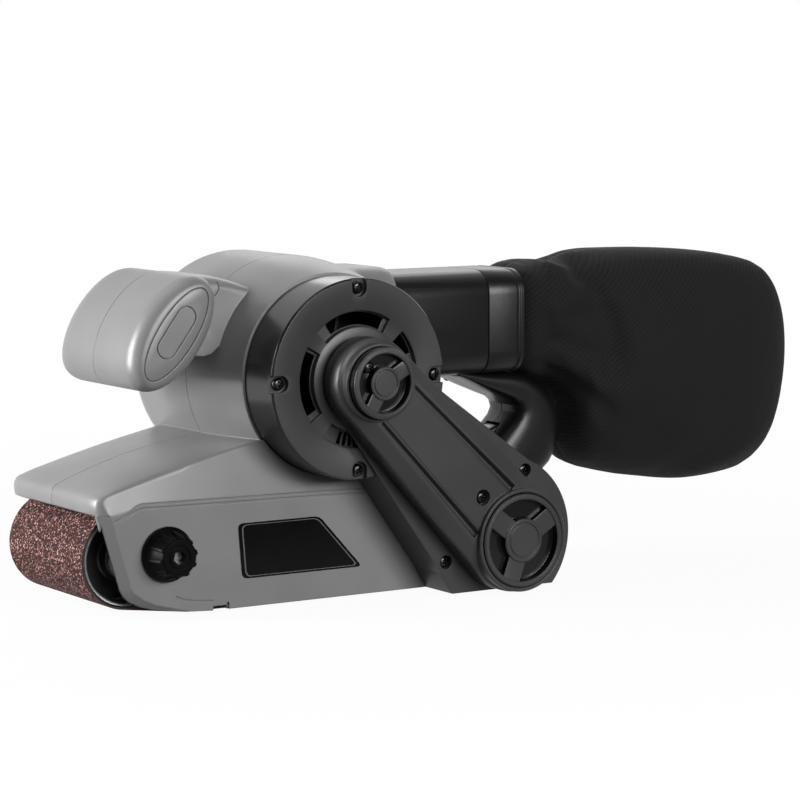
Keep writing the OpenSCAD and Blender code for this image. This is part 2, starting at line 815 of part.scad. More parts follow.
// A hub cap with wide spokes, at the given angles, round a centre boss.
module hub_cap(p, r, y_out, y_in, spokes) {
    difference() {
        rod(p, r, -y_out, -y_in);
        difference() {
            ring(p, r - 2, r * 0.47, -y_out - cut, -y_out + cap_dish);
            for (a = spokes) translate([p[0], -y_out - 2 * cut, p[1]]) rotate([0, -a, 0])
                translate([0, 0, -r * 0.22]) cube([r, cap_dish + 3 * cut, r * 0.44]);
        }
        ring(p, r * 0.40, r * 0.36, -y_out - cut, -y_out + 0.6);
    }
}

module motor_cap() {
    color("#1d1d1f") difference() {
        hub_cap(motor, motor_cap_r, motor_cap_y, motor_cap_y - 7, [30, 240]);
        rod(hub_screw, 1.7, -motor_cap_y, -cover_y + 2);
    }
}

module roller_cap() {
    color("#1d1d1f") hub_cap(rear, roller_cap_r, roller_cap_y, cover_y - 2, [32, 143, 250]);
}

module nameplate() {
    color("#0e0e0f") across(-wall_y - 0.6, -wall_y)
        polygon([[-40.6, 41], [3.6, 41], [27.4, 14.8], [-38.4, 14.8]]);
}

// ---- housing halves ---------------------------------------------------------------

nose_x = front_x - nose_reach;
deck_x = motor_x - sqrt(pow(barrel_r, 2) - pow(motor_z - deck_z, 2));
floor_z = rear_z + drive_r + belt_gap + belt_t + 1.6;
ridge_y = 45;
skirt_z = 53;
lobe_x = 62;
lobe_half = duct_w / 2 + 2;
lobe_top = duct_z + duct_h + 4;
neck_half = 25;

// The barrel's outline in radius and distance from the centre plane, made e smaller.
module barrel_left_outline(e) {
    n = 8;
    polygon(concat([[0, 0]],
        [for (i = [0 : n]) let (h = flange_seat_y * i / n)
            [barrel_r - (barrel_r - barrel_end_r) * pow(i / n, 2) - e, h]],
        [[0, flange_seat_y]]));
}

module barrel_right_outline(e) {
    end = right_end_y - e;
    r = dome_r - e;
    intersection() {
        union() {
            square([barrel_r - dome_r, end]);
            square([barrel_r - e, right_end_y - dome_r]);
            translate([barrel_r - dome_r, right_end_y - dome_r]) circle(r);
        }
        square([barrel_r, right_end_y]);
    }
}

// The side outline of the hood that covers the belt's upper run, grown inwards by e.
module hood_outline(e) {
    slope = (deck_z - brow_z) / (deck_x - nose_x - 2.5);
    drop = e * sqrt(1 + slope * slope);
    low = e > 0 ? -60 : 0;
    polygon([[nose_x + 1.5 + e, nose_z + low], [nose_x + e, nose_z + 2 + low], [nose_x + e, brow_z - 2.5 - drop / 2],
        [nose_x + 2.5 + e / 2, brow_z - drop], [deck_x + 2, deck_z - drop + 2 * slope], [motor_x, deck_z + 2 - drop],
        [motor_x + barrel_r - 9, deck_z - drop], [rear_x + 2, rear_z + hood_r - e],
        [rear_x, nose_z + low]]);
    translate(rear) circle(hood_r - e);
}

// The crown of the deck, a shallow dome from the nose to the barrel, made e smaller.
crown_rise = 3.2;             // height of the dome over the deck's chord
crown_fall = 2.4;             // how much lower the dome is at the ridges

module crown(e, y0, y1) {
    from = [nose_x + 0.5, brow_z];
    chord = [deck_x + 1, deck_z] - from;
    l = norm(chord);
    r = l * l / (8 * crown_rise) + crown_rise / 2;
    at = from + chord / 2 + [-chord[1], chord[0]] / l * (crown_rise - r);
    intersection() {
        turned(at, -1) polygon(concat([[0, -ridge_y]],
            [for (i = [-8 : 8]) [r - e - crown_fall * i * i / 64, ridge_y * i / 8]], [[0, ridge_y]]));
        translate([nose_x + 1.5 + e, y0, nose_z + 4]) cube([deck_x - nose_x + 8, y1 - y0, 2 * crown_rise + deck_z - nose_z]);
    }
}

module hood_shell(y0, y1, left) {
    difference() {
        union() {
            across(y0, y1) intersection() {
                hood_outline(0);
                above(floor_gap);
            }
            crown(0, y0, y1);
        }
        crown(shell_t, left ? y0 + shell_t : y0 - cut, left ? y1 + cut : y1 - shell_t);
        across(left ? y0 + shell_t : y0 - cut, y1 + cut) hood_outline(shell_t);
        across(y0 - cut, y1 + cut) intersection() {
            hood_outline(shell_t);
            translate([0, skirt_z]) mirror([0, 1]) above(0);
        }
    }
}

// Floor of the motor bay, clear of the sanding belt's upper run.
module bay_floor(y0, y1) {
    translate([motor_x - 34, y0, floor_z]) cube([68, y1 - y0, 3]);
}

// The side wall beside the belt.
module side_wall_outline() {
    intersection() {
        union() {
            polygon([[nose_x + 4.5, skirt_z], [nose_x + 2.2, nose_z], [nose_x + 13.4, 9.5],
                [nose_x + 17.5, 6.6], [nose_x + 25, 4.2], [nose_x + 48, floor_gap], [platen_front + 8, floor_gap], [platen_front + 8, 3],
                [platen_front + 16, 3], [platen_front + 16, floor_gap], [rear_x, floor_gap],
                [rear_x, skirt_z + 2]]);
            translate(rear) circle(hood_r);
        }
        above(floor_gap);
    }
}

// The neck that carries the front grip.
grip_at = [motor_x - 81.4, motor_z + 22.7];
lean = [sin(grip_lean), cos(grip_lean)];
cap_inset = 5.6;              // width of the grip's rim round each end cap

module grip_outline(e) {
    ends = lean * (grip_long / 2 - grip_end_r);
    band([[grip_at - ends, grip_end_r - e], [grip_at, grip_r - e], [grip_at + ends, grip_end_r - e],
        [grip_at, grip_r - e]]);
}

module neck_outline() {
    difference() {
        polygon([grip_at + lean * 20, grip_at + [14.5, 25.5], motor + [-43, 46], motor + [-31.5, 41.5],
            motor + [-24, 30], motor + [-50, 3], motor + [-58, 8.7], grip_at + [5, -10.5]]);
        grip_outline(0);
    }
}

screw_spots = [motor + [-72, -41], rear + [-20, 39.4]];
neck_screw = motor + [-57, 28];
boss_r = 4.4;
housing_screw_r = 2;

module housing_bosses(y0, y1) {
    for (p = screw_spots) rod(p, boss_r, y0, y1);
}

module housing_screw_holes(y0, y1) {
    for (p = concat(screw_spots, [neck_screw])) rod(p, housing_screw_r, y0, y1);
}

module duct_section(e) {
    rounded(-duct_w / 2 + e, duct_z + e, duct_w - 2 * e, duct_h - 2 * e, 12 - e);
}

module lobe(e) {
    along(motor_x, lobe_x) rounded(-lobe_half + e, duct_z - 2 + e, 2 * lobe_half - 2 * e,
        lobe_top - duct_z + 2 - 2 * e, 14 - e);
}

module left_housing() {
    color("#8e9092") difference() {
        union() {
            intersection() {
                turned(motor, -1) barrel_left_outline(0);
                above_solid(floor_z);
            }
            hood_shell(-ridge_y, 0, true);
            across(-wall_y, -frame_y0) side_wall_outline();
            intersection() {
                lobe(0);
                half_space(-1);
            }
            across(-neck_half, 0) neck_outline();
            bay_floor(-flange_seat_y, 0);
            housing_bosses(-20, 0);
            // rib that ties the front boss to the crowned deck
            across(-20, 0) translate(screw_spots[0] - [1.2, 0]) square([2.4, 7.2]);
        }
        difference() {
            union() {
                turned(motor, -1) barrel_left_outline(shell_t);
                rod(motor, barrel_end_r - shell_t, -flange_seat_y - cut, -flange_seat_y + 6);
            }
            bay_floor(-flange_seat_y - cut, 0);
            mirror([0, 0, 1]) above_solid(-floor_z);
            // rib that seats the stator
            ring(motor, barrel_r, stator_r, -core_half + 1, -core_half + 5);
            for (k = [0 : flange_screw_n - 1]) rod(flange_screw_at(k), 4.5, -flange_seat_y, -fan_y + 13);
        }
        difference() {
            intersection() {
                lobe(shell_t);
                translate([0, cut, 0]) half_space(-1);
            }
            turned(motor, -1) barrel_left_outline(0);
        }
        translate([lobe_x - cut, -duct_w / 2 + shell_t, duct_z + shell_t])
            cube([2 * cut, duct_w / 2, duct_h - 2 * shell_t]);
        across(-belt_half - 3, cut) belt_path(belt_t + 1.5);
        for (k = [0 : flange_screw_n - 1]) rod(flange_screw_at(k), 1.7, -flange_seat_y - cut, -fan_y + 20);
        rod(rear, bearing_r + 1, -wall_y - cut, 0);
        rod(knob, screw_r + run_fit, -wall_y - cut, 0);
        for (p = case_screw_spots) rod(p, 1.7, -wall_y - cut, 0);
        rod(motor, flange_r + slide_gap, -wall_y - cut, -flange_seat_y);
        housing_screw_holes(-14, cut);
    }
}

module right_housing() {
    color("#8e9092") difference() {
        union() {
            intersection() {
                turned(motor, 1) barrel_right_outline(0);
                above_solid(floor_z);
            }
            hood_shell(0, open_y, false);
            intersection() {
                lobe(0);
                half_space(1);
            }
            across(0, neck_half) neck_outline();
            bay_floor(0, open_y);
            housing_bosses(0, open_y);
        }
        difference() {
            turned(motor, 1) barrel_right_outline(shell_t);
            bay_floor(-cut, right_end_y);
            mirror([0, 0, 1]) above_solid(-floor_z);
            ring(motor, barrel_r, stator_r, core_half - 5, core_half - 1);
            rod(motor, motor_bearing_r + seat_t, far_bearing_y - motor_bearing_t, right_end_y);
        }
        difference() {
            intersection() {
                lobe(shell_t);
                translate([0, -cut, 0]) half_space(1);
            }
            turned(motor, 1) barrel_right_outline(0);
        }
        translate([lobe_x - cut, -cut, duct_z + shell_t]) cube([2 * cut, duct_w / 2 - shell_t + cut, duct_h - 2 * shell_t]);
        rod(motor, motor_bearing_r, far_bearing_y - motor_bearing_t - cut, far_bearing_y);
        at_brushes() cylinder(h = barrel_r + 5, r = holder_r);
        across(-cut, open_y + cut) belt_path(belt_t + 1.5);
        // air outlet slots in the right end
        for (k = [0 : 11]) translate([motor_x, right_end_y - shell_t - cut, motor_z]) rotate([0, k * 30, 0])
            translate([19, 0, -1.5]) cube([12, shell_t + 2 * cut, 3]);
        housing_screw_holes(-cut, open_y + cut);
    }
}

module housing_screws() {
    color("#141414") {
        for (p = screw_spots) screw(p, open_y, 1, 3.6, 2.4, housing_screw_r, open_y + 14);
        screw(neck_screw, neck_half, 1, 3.6, 2.4, housing_screw_r, neck_half + 14);
    }
}

// ---- front grip ----------------------------------------------------------------------

module grip_shell(y0, y1, left) {
    difference() {
        across(y0, y1) grip_outline(0);
        across(left ? y0 + shell_t : y0 - cut, left ? y1 + cut : y1 - shell_t) grip_outline(shell_t);
        across(left ? y0 - cut : y1 - 1.5, left ? y0 + 1.5 : y1 + cut) grip_outline(cap_inset);
    }
}

module front_grip_left() {
    color("#8e9092") grip_shell(-grip_half_l, 0, true);
}

module front_grip_right() {
    color("#8e9092") grip_shell(0, grip_half_l, false);
}

end_oval_r = 5.6;             // half the width of the oval groove in each end cap
end_oval_l = 17;              // distance between the centres of the oval's ends

module grip_end_caps() {
    color("#85878a") for (s = [-1, 1]) {
        y = s > 0 ? grip_half_l - 1.5 : -grip_half_l;
        difference() {
            across(y, y + 1.5) grip_outline(cap_inset);
            across(s > 0 ? y + 1 : y - cut, s > 0 ? y + 1.5 + cut : y + 0.5) difference() {
                slot(grip_at - lean * end_oval_l / 2, grip_at + lean * end_oval_l / 2, end_oval_r);
                slot(grip_at - lean * end_oval_l / 2, grip_at + lean * end_oval_l / 2, end_oval_r - 0.8);
            }
        }
    }
}

// ---- dust duct, collar and bag ----------------------------------------------------------

duct_end = motor_x + duct_reach;
spigot_l = 14;
duct_t = 2.5;
collar_end = duct_end + slide_gap + collar_l;

module dust_duct() {
    color("#262527") difference() {
        along(lobe_x, duct_end) difference() {
            duct_section(0);
            duct_section(duct_t);
        }
        rod(motor, barrel_r, -duct_w, duct_w);
    }
}

module bag_collar() {
    color("#262527") {
        along(duct_end + slide_gap, collar_end) difference() {
            duct_section(0);
            duct_section(duct_t + slide_gap + 2);
        }
        along(duct_end - spigot_l, duct_end + slide_gap + 1) difference() {
            duct_section(duct_t + slide_gap);
            duct_section(duct_t + slide_gap + 2);
        }
    }
}

bag_x = collar_end + slide_gap;
bag_top = duct_z + duct_h + 5;

// A corner of the bag, as a ball.
module bag_ball(dx, z, half, r) {
    for (s = [-1, 1]) translate([bag_x + dx, s * (half - r), z]) sphere(r, $fn = 24);
}

module dust_bag() {
    half = bag_w / 2;
    low = bag_top - bag_h;
    color("#1c1c1d") difference() {
        hull() {
            along(bag_x, bag_x + 4) duct_section(1.5);
            bag_ball(46, bag_top - 22, half, 22);
            bag_ball(bag_l * 0.45, bag_top - 20, half, 20);
            bag_ball(bag_l * 0.7, bag_top - 22, half - 5, 20);
            bag_ball(bag_l - 32, bag_top - 24, half - 19, 17);
            bag_ball(bag_l - 12, bag_top - bag_h * 0.45, half - 25, 12);
            bag_ball(bag_l - 33, low + 26, half - 19, 18);
            bag_ball(bag_l * 0.72, low + 19, half - 8, 19);
            bag_ball(bag_l * 0.55, low + 18, half - 2, 18);
            bag_ball(64, low + 34, half - 6, 22);
        }
        across(-half, half) offset(delta = 2) handle_outer();
    }
}

// ---- rear handle --------------------------------------------------------------------------

hole_top = [motor_x + 88.6, duct_z];

module handle_outer() {
    d = duct_z;
    polygon([hole_top, [rear_x + 42, d], [rear_x + 57, d - 4.5], [rear_x + 70, d - 13.5],
        [rear_x + 78, d - 24.5], [rear_x + 81, d - 37.5], rear + [77, 26.1], rear + [66, 19.1],
        rear + [50, 12.1], rear + [33, 5.1], rear + [20, 18.1], rear + [25, 28.6],
        [rear_x + 36.5, d - 32.5], [rear_x + 43.4, d - 21.7], [rear_x + 43.6, d - 17.8]]);
}

module handle_outline() {
    difference() {
        handle_outer();
        translate(rear) circle(hood_r);
    }
}

trigger_pivot = [rear_x + 43, 68.5];
trigger_pin_r = 2;
trigger_dir = [-0.72, -0.694];        // from the pivot down along the grip's inner edge
trigger_out = [-0.694, 0.72];         // out of the grip, into the finger gap

function on_trigger(a, b) = trigger_pivot + a * trigger_dir + b * trigger_out;

module trigger_outline() {
    polygon([on_trigger(-3, 0), on_trigger(-2, 5), on_trigger(4, 12), on_trigger(16, 13), on_trigger(19, 10),
        on_trigger(19, 2), on_trigger(4, -4), on_trigger(-2, -3.5)]);
}

// The room the trigger needs over its whole swing.
module trigger_room() {
    for (a = [0, trigger_swing]) translate(trigger_pivot) rotate(a) translate(-trigger_pivot)
        offset(delta = slide_gap + 0.4) trigger_outline();
}

handle_screw_spots = [[rear_x + 62, 84], [rear_x + 66, 57], [rear_x + 24, 94.5]];
button_at = [rear_x + 56, 66];
button_r = 5;
button_travel = 3;
gland_at = [rear_x + 50, 51];
gland_r = cord_d / 2 + 2.5;

switch_l = 16;
switch_h = 6;
switch_half_w = 9;
switch_back = -16;            // how far the switch lies behind the trigger's pivot
switch_post = on_trigger(16, switch_back + switch_h / 2);

module handle_half(left) {
    y0 = left ? -handle_half_w : 0;
    y1 = left ? 0 : handle_half_w;
    difference() {
        across(y0, y1) handle_outline();
        difference() {
            across(left ? y0 + shell_t : y0 - cut, left ? y1 + cut : y1 - shell_t)
                offset(delta = -shell_t) handle_outline();
            for (p = handle_screw_spots) rod(p, boss_r, y0 - 1, y1 + 1);
            rod(switch_post, 3, left ? y0 : switch_half_w, left ? -switch_half_w : y1);
            rod(trigger_pivot, trigger_pin_r + 2.5, left ? y0 : trigger_w / 2 + slide_gap,
                left ? -trigger_w / 2 - slide_gap : y1);
        }
        across(left ? -trigger_w / 2 - slide_gap : -cut, left ? cut : trigger_w / 2 + slide_gap) trigger_room();
        rod(trigger_pivot, trigger_pin_r, left ? y0 + shell_t : -cut, left ? cut : y1 - shell_t);
        for (p = handle_screw_spots) rod(p, 2, left ? y0 + shell_t : y0 - cut, y1 + cut);
    }
}

module handle_left() {
    color("#242426") handle_half(true);
}

module handle_right() {
    color("#242426") difference() {
        handle_half(false);
        rod(button_at, button_r + slide_gap, -cut, handle_half_w + cut);
        rod(gland_at, gland_r, -cut, handle_half_w + cut);
    }
}

module handle_screws() {
    color("#141414") for (p = handle_screw_spots)
        screw(p, handle_half_w, 1, 3.2, 2, 2, 2 * handle_half_w - shell_t - 4);
}

module trigger() {
    color("#161617") difference() {
        across(-trigger_w / 2, trigger_w / 2) trigger_outline();
        rod(trigger_pivot, trigger_pin_r + run_fit, -trigger_w, trigger_w);
    }
}

module trigger_pin() {
    color("silver") rod(trigger_pivot, trigger_pin_r, -handle_half_w + shell_t, handle_half_w - shell_t);
}

module switch_body() {
    color("#33353a") across(-switch_half_w, switch_half_w) polygon([on_trigger(2, switch_back),
        on_trigger(2 + switch_l, switch_back), on_trigger(2 + switch_l, switch_back + switch_h),
        on_trigger(2, switch_back + switch_h)]);
}

module trigger_spring() {
    at = on_trigger(12, switch_back + switch_h);
    color("#5c6068") translate([at[0], 0, at[1]]) rotate([0, atan2(trigger_out[0], trigger_out[1]), 0])
        coil(2.4, 0.5, 7.7, 4);
}

module lock_button() {
    color("#161617") rod(button_at, button_r, handle_half_w - shell_t - 3, handle_half_w + button_travel + 1);
}

module cord_gland() {
    color("#19191a") difference() {
        union() {
            rod(gland_at, gland_r, handle_half_w - shell_t - 4, handle_half_w + 10);
            rod(gland_at, gland_r + 1.5, handle_half_w, handle_half_w + 3);
        }
        rod(gland_at, cord_d / 2, handle_half_w - shell_t - 4 - cut, handle_half_w + 10 + cut);
    }
}

left_housing();
right_housing();
main_frame();
platen_plate();
platen_pad();
sanding_belt();
front_roller();
roller_bearings();
front_axle();
roller_fork();
fork_pin();
tension_rod();
tension_spring();
tracking_knob();
tracking_screw();
release_lever();
lever_pin();
drive_roller();
roller_lagging();
drive_shaft();
drive_bearings();
driven_pulley();
timing_belt();
motor_pulley();
armature_shaft();
rotor_core();
armature_windings();
commutator();
cooling_fan();
motor_bearings();
stator_core();
field_coils();
brush_holders();
carbon_brushes();
brush_caps();
motor_flange();
flange_screws();
drive_case();
case_screws();
belt_cover();
cover_screws();
motor_cap();
roller_cap();
nameplate();
dust_duct();
bag_collar();
dust_bag();
front_grip_left();
front_grip_right();
grip_end_caps();
handle_left();
handle_right();
trigger();
trigger_pin();
trigger_spring();
switch_body();
lock_button();
cord_gland();
housing_screws();
handle_screws();
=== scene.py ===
import math

import bmesh
import bpy
from mathutils import Matrix, Vector


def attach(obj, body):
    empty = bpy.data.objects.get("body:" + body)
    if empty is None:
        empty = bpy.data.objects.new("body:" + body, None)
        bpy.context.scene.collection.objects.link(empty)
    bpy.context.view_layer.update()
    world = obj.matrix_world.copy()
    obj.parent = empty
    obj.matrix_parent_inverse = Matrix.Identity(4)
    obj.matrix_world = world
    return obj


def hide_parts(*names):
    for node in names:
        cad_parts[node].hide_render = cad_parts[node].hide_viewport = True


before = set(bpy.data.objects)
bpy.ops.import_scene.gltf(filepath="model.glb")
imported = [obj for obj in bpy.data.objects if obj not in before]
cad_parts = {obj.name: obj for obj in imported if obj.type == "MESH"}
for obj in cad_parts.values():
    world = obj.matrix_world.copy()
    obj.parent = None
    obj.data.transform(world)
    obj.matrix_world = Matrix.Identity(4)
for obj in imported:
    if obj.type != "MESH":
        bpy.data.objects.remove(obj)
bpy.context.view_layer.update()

# ---- Camera ----------------------------------------------------------------
# A long lens, level with the grip and well to the nose side of square on, so the
# drive cover, the nose and the bag are all in view.
bpy.ops.object.select_all(action="DESELECT")
yaw, pitch = math.radians(32.8), math.radians(6.31)
looking = Vector((math.sin(yaw) * math.cos(pitch), math.cos(yaw) * math.cos(pitch), -math.sin(pitch)))
bpy.ops.object.camera_add(location=(-0.7264, -1.2510, 0.2519))
camera = bpy.context.object
camera.rotation_mode = "QUATERNION"
camera.rotation_quaternion = looking.to_track_quat("-Z", "Y")
camera.data.lens, camera.data.sensor_width = 135, 36
bpy.context.scene.camera = camera
bpy.context.scene.view_settings.view_transform = "Standard"

# ---- Studio ----------------------------------------------------------------
# A sweep of white paper, lit as for a catalogue: a softbox low behind the nose, a long
# one in front, a narrow strip for the edges, and weak ones overhead and behind. The
# room behind the camera is dim, and so is the near part of the floor.


def node(tree, kind, values=None, links=None, stops=(), **settings):
    """Adds a shader node with its socket values, its links, its settings and, for a
    colour ramp, its stops as (position, hex colour)."""
    made = tree.nodes.new(kind)
    for name, value in settings.items():
        setattr(made, name, value)
    for name, value in (values or {}).items():
        made.inputs[name].default_value = value
    for name, source in (links or {}).items():
        tree.links.new(source, made.inputs[name])
    for i, (position, colour) in enumerate(stops):
        ends = made.color_ramp.elements
        stop = ends[i] if i < len(ends) else ends.new(position)
        stop.position, stop.color = position, linear(colour)
    return made


def linear(code, alpha=1.0):
    """A colour written as sRGB hex, as linear numbers."""
    parts = [int(code[i:i + 2], 16) / 255 for i in (1, 3, 5)]
    return [c / 12.92 if c <= 0.04045 else ((c + 0.055) / 1.055) ** 2.4 for c in parts] + [alpha]


def seen_directly(tree):
    """1 for camera, glossy and transmitted rays, and 0 for the rays that light things."""
    rays = node(tree, "ShaderNodeLightPath")
    either = node(tree, "ShaderNodeMath", links={0: rays.outputs["Is Camera Ray"],
                                                 1: rays.outputs["Is Glossy Ray"]}, operation="MAXIMUM")
    both = node(tree, "ShaderNodeMath", links={0: either.outputs[0],
                                               1: rays.outputs["Is Transmission Ray"]}, operation="MAXIMUM")
    return rays.outputs["Is Camera Ray"], both.outputs[0]


world = bpy.data.worlds.new("white_sweep")
bpy.context.scene.world = world
world.use_nodes = True
sky = world.node_tree
sky.nodes.clear()
camera_ray, direct_ray = seen_directly(sky)
heading = node(sky, "ShaderNodeTexCoord").outputs["Generated"]
way = node(sky, "ShaderNodeSeparateXYZ", links={"Vector": heading})
sweep = node(sky, "ShaderNodeMapRange", {"From Min": -0.35, "From Max": 0.35, "To Min": 0.05, "To Max": 1.0},
             {"Value": way.outputs["Y"]})
level = node(sky, "ShaderNodeMath", links={0: sweep.outputs["Result"], 1: camera_ray}, operation="MAXIMUM")
backdrop = node(sky, "ShaderNodeBackground", {"Color": linear("#ffffff")}, {"Strength": level.outputs[0]})
room_light = node(sky, "ShaderNodeBackground", {"Color": linear("#f4f6fa"), "Strength": 0.02})
mixed = node(sky, "ShaderNodeMixShader", links={0: direct_ray, 1: room_light.outputs[0],
                                                2: backdrop.outputs[0]})
node(sky, "ShaderNodeOutputWorld", links={"Surface": mixed.outputs[0]})


def softbox(name, place, target, width, height, power):
    """A rectangular light aimed at a target: sizes in metres, power in watts."""
    bpy.ops.object.light_add(type="AREA", location=place)
    lamp = bpy.context.object
    lamp.name = name
    lamp.data.shape, lamp.data.size, lamp.data.size_y, lamp.data.energy = "RECTANGLE", width, height, power
    lamp.rotation_mode = "QUATERNION"
    lamp.rotation_quaternion = (Vector(target) - Vector(place)).to_track_quat("-Z", "Y")


middle = (0.06, 0, 0.08)
softbox("overhead_softbox", (-0.25, -0.05, 1.15), middle, 1.2, 0.5, 1.2)
softbox("nose_softbox", (-1.1, 0.42, 0.34), (-0.03, 0, 0.1), 0.4, 0.7, 26)
softbox("front_softbox", (0.22, -1.6, 0.54), middle, 1.2, 0.5, 27)
softbox("edge_strip", (-1.3, -0.82, 0.33), middle, 0.12, 0.6, 0.7)
softbox("rear_softbox", (0.9, 1.1, 0.9), middle, 0.8, 0.8, 3)

bpy.ops.mesh.primitive_plane_add(size=8)
floor = bpy.context.object
floor.name = "paper_floor"
paper = bpy.data.materials.new("white_paper")
paper.use_nodes = True
sheet = paper.node_tree
sheet.nodes.clear()
matt = node(sheet, "ShaderNodeBsdfDiffuse", {"Color": linear("#3c3c3c")})
spot = node(sheet, "ShaderNodeTexCoord").outputs["Object"]
reach = node(sheet, "ShaderNodeVectorMath", links={0: spot}, operation="LENGTH")
seen = node(sheet, "ShaderNodeMapRange",
            {"From Min": 0.25, "From Max": 1.2, "To Min": 0.95, "To Max": 1.0},
            {"Value": reach.outputs["Value"]})
depth = node(sheet, "ShaderNodeSeparateXYZ", links={"Vector": spot})
mirrored = node(sheet, "ShaderNodeMapRange",
                {"From Min": -0.35, "From Max": 0.15, "To Min": 0.06, "To Max": 0.9},
                {"Value": depth.outputs["Y"]})
to_camera, to_any = seen_directly(sheet)
strength = node(sheet, "ShaderNodeMix", links={0: to_camera, 2: mirrored.outputs["Result"],
                                               3: seen.outputs["Result"]})
glow = node(sheet, "ShaderNodeEmission", {"Color": linear("#ffffff")}, {"Strength": strength.outputs[0]})
none = node(sheet, "ShaderNodeEmission", {"Strength": 0.0})
lift = node(sheet, "ShaderNodeMixShader", links={0: to_any, 1: none.outputs[0], 2: glow.outputs[0]})
both = node(sheet, "ShaderNodeAddShader", links={0: matt.outputs[0], 1: lift.outputs[0]})
node(sheet, "ShaderNodeOutputMaterial", links={"Surface": both.outputs[0]})
floor.data.materials.append(paper)
floor.data.transform(Matrix.Translation((0, 0, -0.0004)))

# ---- Sanding belt ----------------------------------------------------------
# A cloth belt 76 mm wide, coated with brown aluminium oxide grit. It runs round both
# rollers and over the platen's front edge.


def clear():
    """Deselects everything, so that the next operator acts on its own piece alone."""
    if bpy.context.object and bpy.context.object.mode == "EDIT":
        bpy.ops.object.mode_set(mode="OBJECT")
    bpy.ops.object.select_all(action="DESELECT")


def only(piece):
    """Selects one piece and makes it active."""
    clear()
    piece.select_set(True)
    bpy.context.view_layer.objects.active = piece


def loop_of(name, points):
    """A closed loop of edges through points in millimetres, from a circle's vertices,
    each of which keeps the number of its point."""
    clear()
    bpy.ops.mesh.primitive_circle_add(vertices=len(points), radius=1)
    piece = bpy.context.object
    piece.name = piece.data.name = name
    for vertex, point in zip(piece.data.vertices, points):
        vertex.co = point
    order = piece.data.attributes.new("order", "INT", "POINT")
    order.data.foreach_set("value", list(range(len(points))))
    return piece


def edit(piece):
    """Opens a piece in edit mode, with all of it selected."""
    only(piece)
    bpy.ops.object.mode_set(mode="EDIT")
    bpy.ops.mesh.select_all(action="SELECT")


def tidy(piece, gap=0.0005):
    """Merges doubles and turns every face outwards."""
    edit(piece)
    bpy.ops.mesh.remove_doubles(threshold=gap)
    bpy.ops.mesh.dissolve_degenerate(threshold=gap)
    bpy.ops.mesh.normals_make_consistent(inside=False)
    bpy.ops.object.mode_set(mode="OBJECT")
    if "order" in piece.data.attributes:
        piece.data.attributes.remove(piece.data.attributes["order"])
    return piece


def skinned(name, rings, ends=True):
    """Extrudes the first ring of points to each next ring, and fills the two ends."""
    piece = loop_of(name, rings[0])
    edit(piece)
    if ends:
        bpy.ops.mesh.edge_face_add()
    for ring in rings[1:]:
        bpy.ops.mesh.extrude_region_move()
        mesh = bmesh.from_edit_mesh(piece.data)
        order = mesh.verts.layers.int["order"]
        for vertex in mesh.verts:
            if vertex.select:
                vertex.co = ring[vertex[order]]
        bmesh.update_edit_mesh(piece.data)
    bpy.ops.object.mode_set(mode="OBJECT")
    return tidy(piece)


def ring_at(y, outline):
    """A flat outline of X and Z, stood at y."""
    return [(x, y, z) for x, z in outline]


def slab(name, outline, y0, y1):
    """A flat outline of X and Z, extruded across the tool from y0 to y1."""
    return skinned(name, [ring_at(y, outline) for y in (y0, y1)])


def wrap(circles, step=6):
    """The outline of a band drawn tight round circles (x, z, radius), anticlockwise."""
    points = []
    count = len(circles)
    for i, (x, z, r) in enumerate(circles):
        def leaving(a, b):
            dx, dz = b[0] - a[0], b[1] - a[1]
            return math.atan2(dz, dx) - math.acos((a[2] - b[2]) / math.hypot(dx, dz))
        start = leaving(circles[i - 1], circles[i])
        end = leaving(circles[i], circles[(i + 1) % count])
        while end < start - 1e-9:
            end += math.tau
        pieces = max(1, round(math.degrees(end - start) / step))
        for k in range(pieces + 1):
            angle = start + (end - start) * k / pieces
            points.append((x + r * math.cos(angle), z + r * math.sin(angle)))
    return points


def modify(piece, kind, **settings):
    """Adds a modifier and applies it."""
    only(piece)
    modifier = piece.modifiers.new(kind.lower(), kind)
    for name, value in settings.items():
        setattr(modifier, name, value)
    bpy.ops.object.modifier_apply(modifier=modifier.name)
    return piece


def joined(name, pieces):
    """Joins pieces into the first, without uniting them."""
    clear()
    for piece in pieces:
        piece.select_set(True)
    bpy.context.view_layer.objects.active = pieces[0]
    if len(pieces) > 1:
        bpy.ops.object.join()
    pieces[0].name = pieces[0].data.name = name
    return pieces[0]


def settled(piece, body, slot, material, *nodes, crease=32):
    """Brings a finished piece from millimetres to metres and hangs it on its body."""
    piece.data.transform(Matrix.Scale(0.001, 4))
    only(piece)
    bpy.ops.object.shade_smooth_by_angle(angle=math.radians(crease))
    if material and not piece.data.materials:
        piece.data.materials.append(material)
    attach(piece, body)
    if nodes:
        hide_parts(*nodes)
    return piece


def blank(name):
    """A new material: its tree, its shader and its Object coordinates."""
    material = bpy.data.materials.new(name)
    material.use_nodes = True
    tree = material.node_tree
    place = node(tree, "ShaderNodeTexCoord").outputs["Object"]
    return material, tree, tree.nodes["Principled BSDF"], place


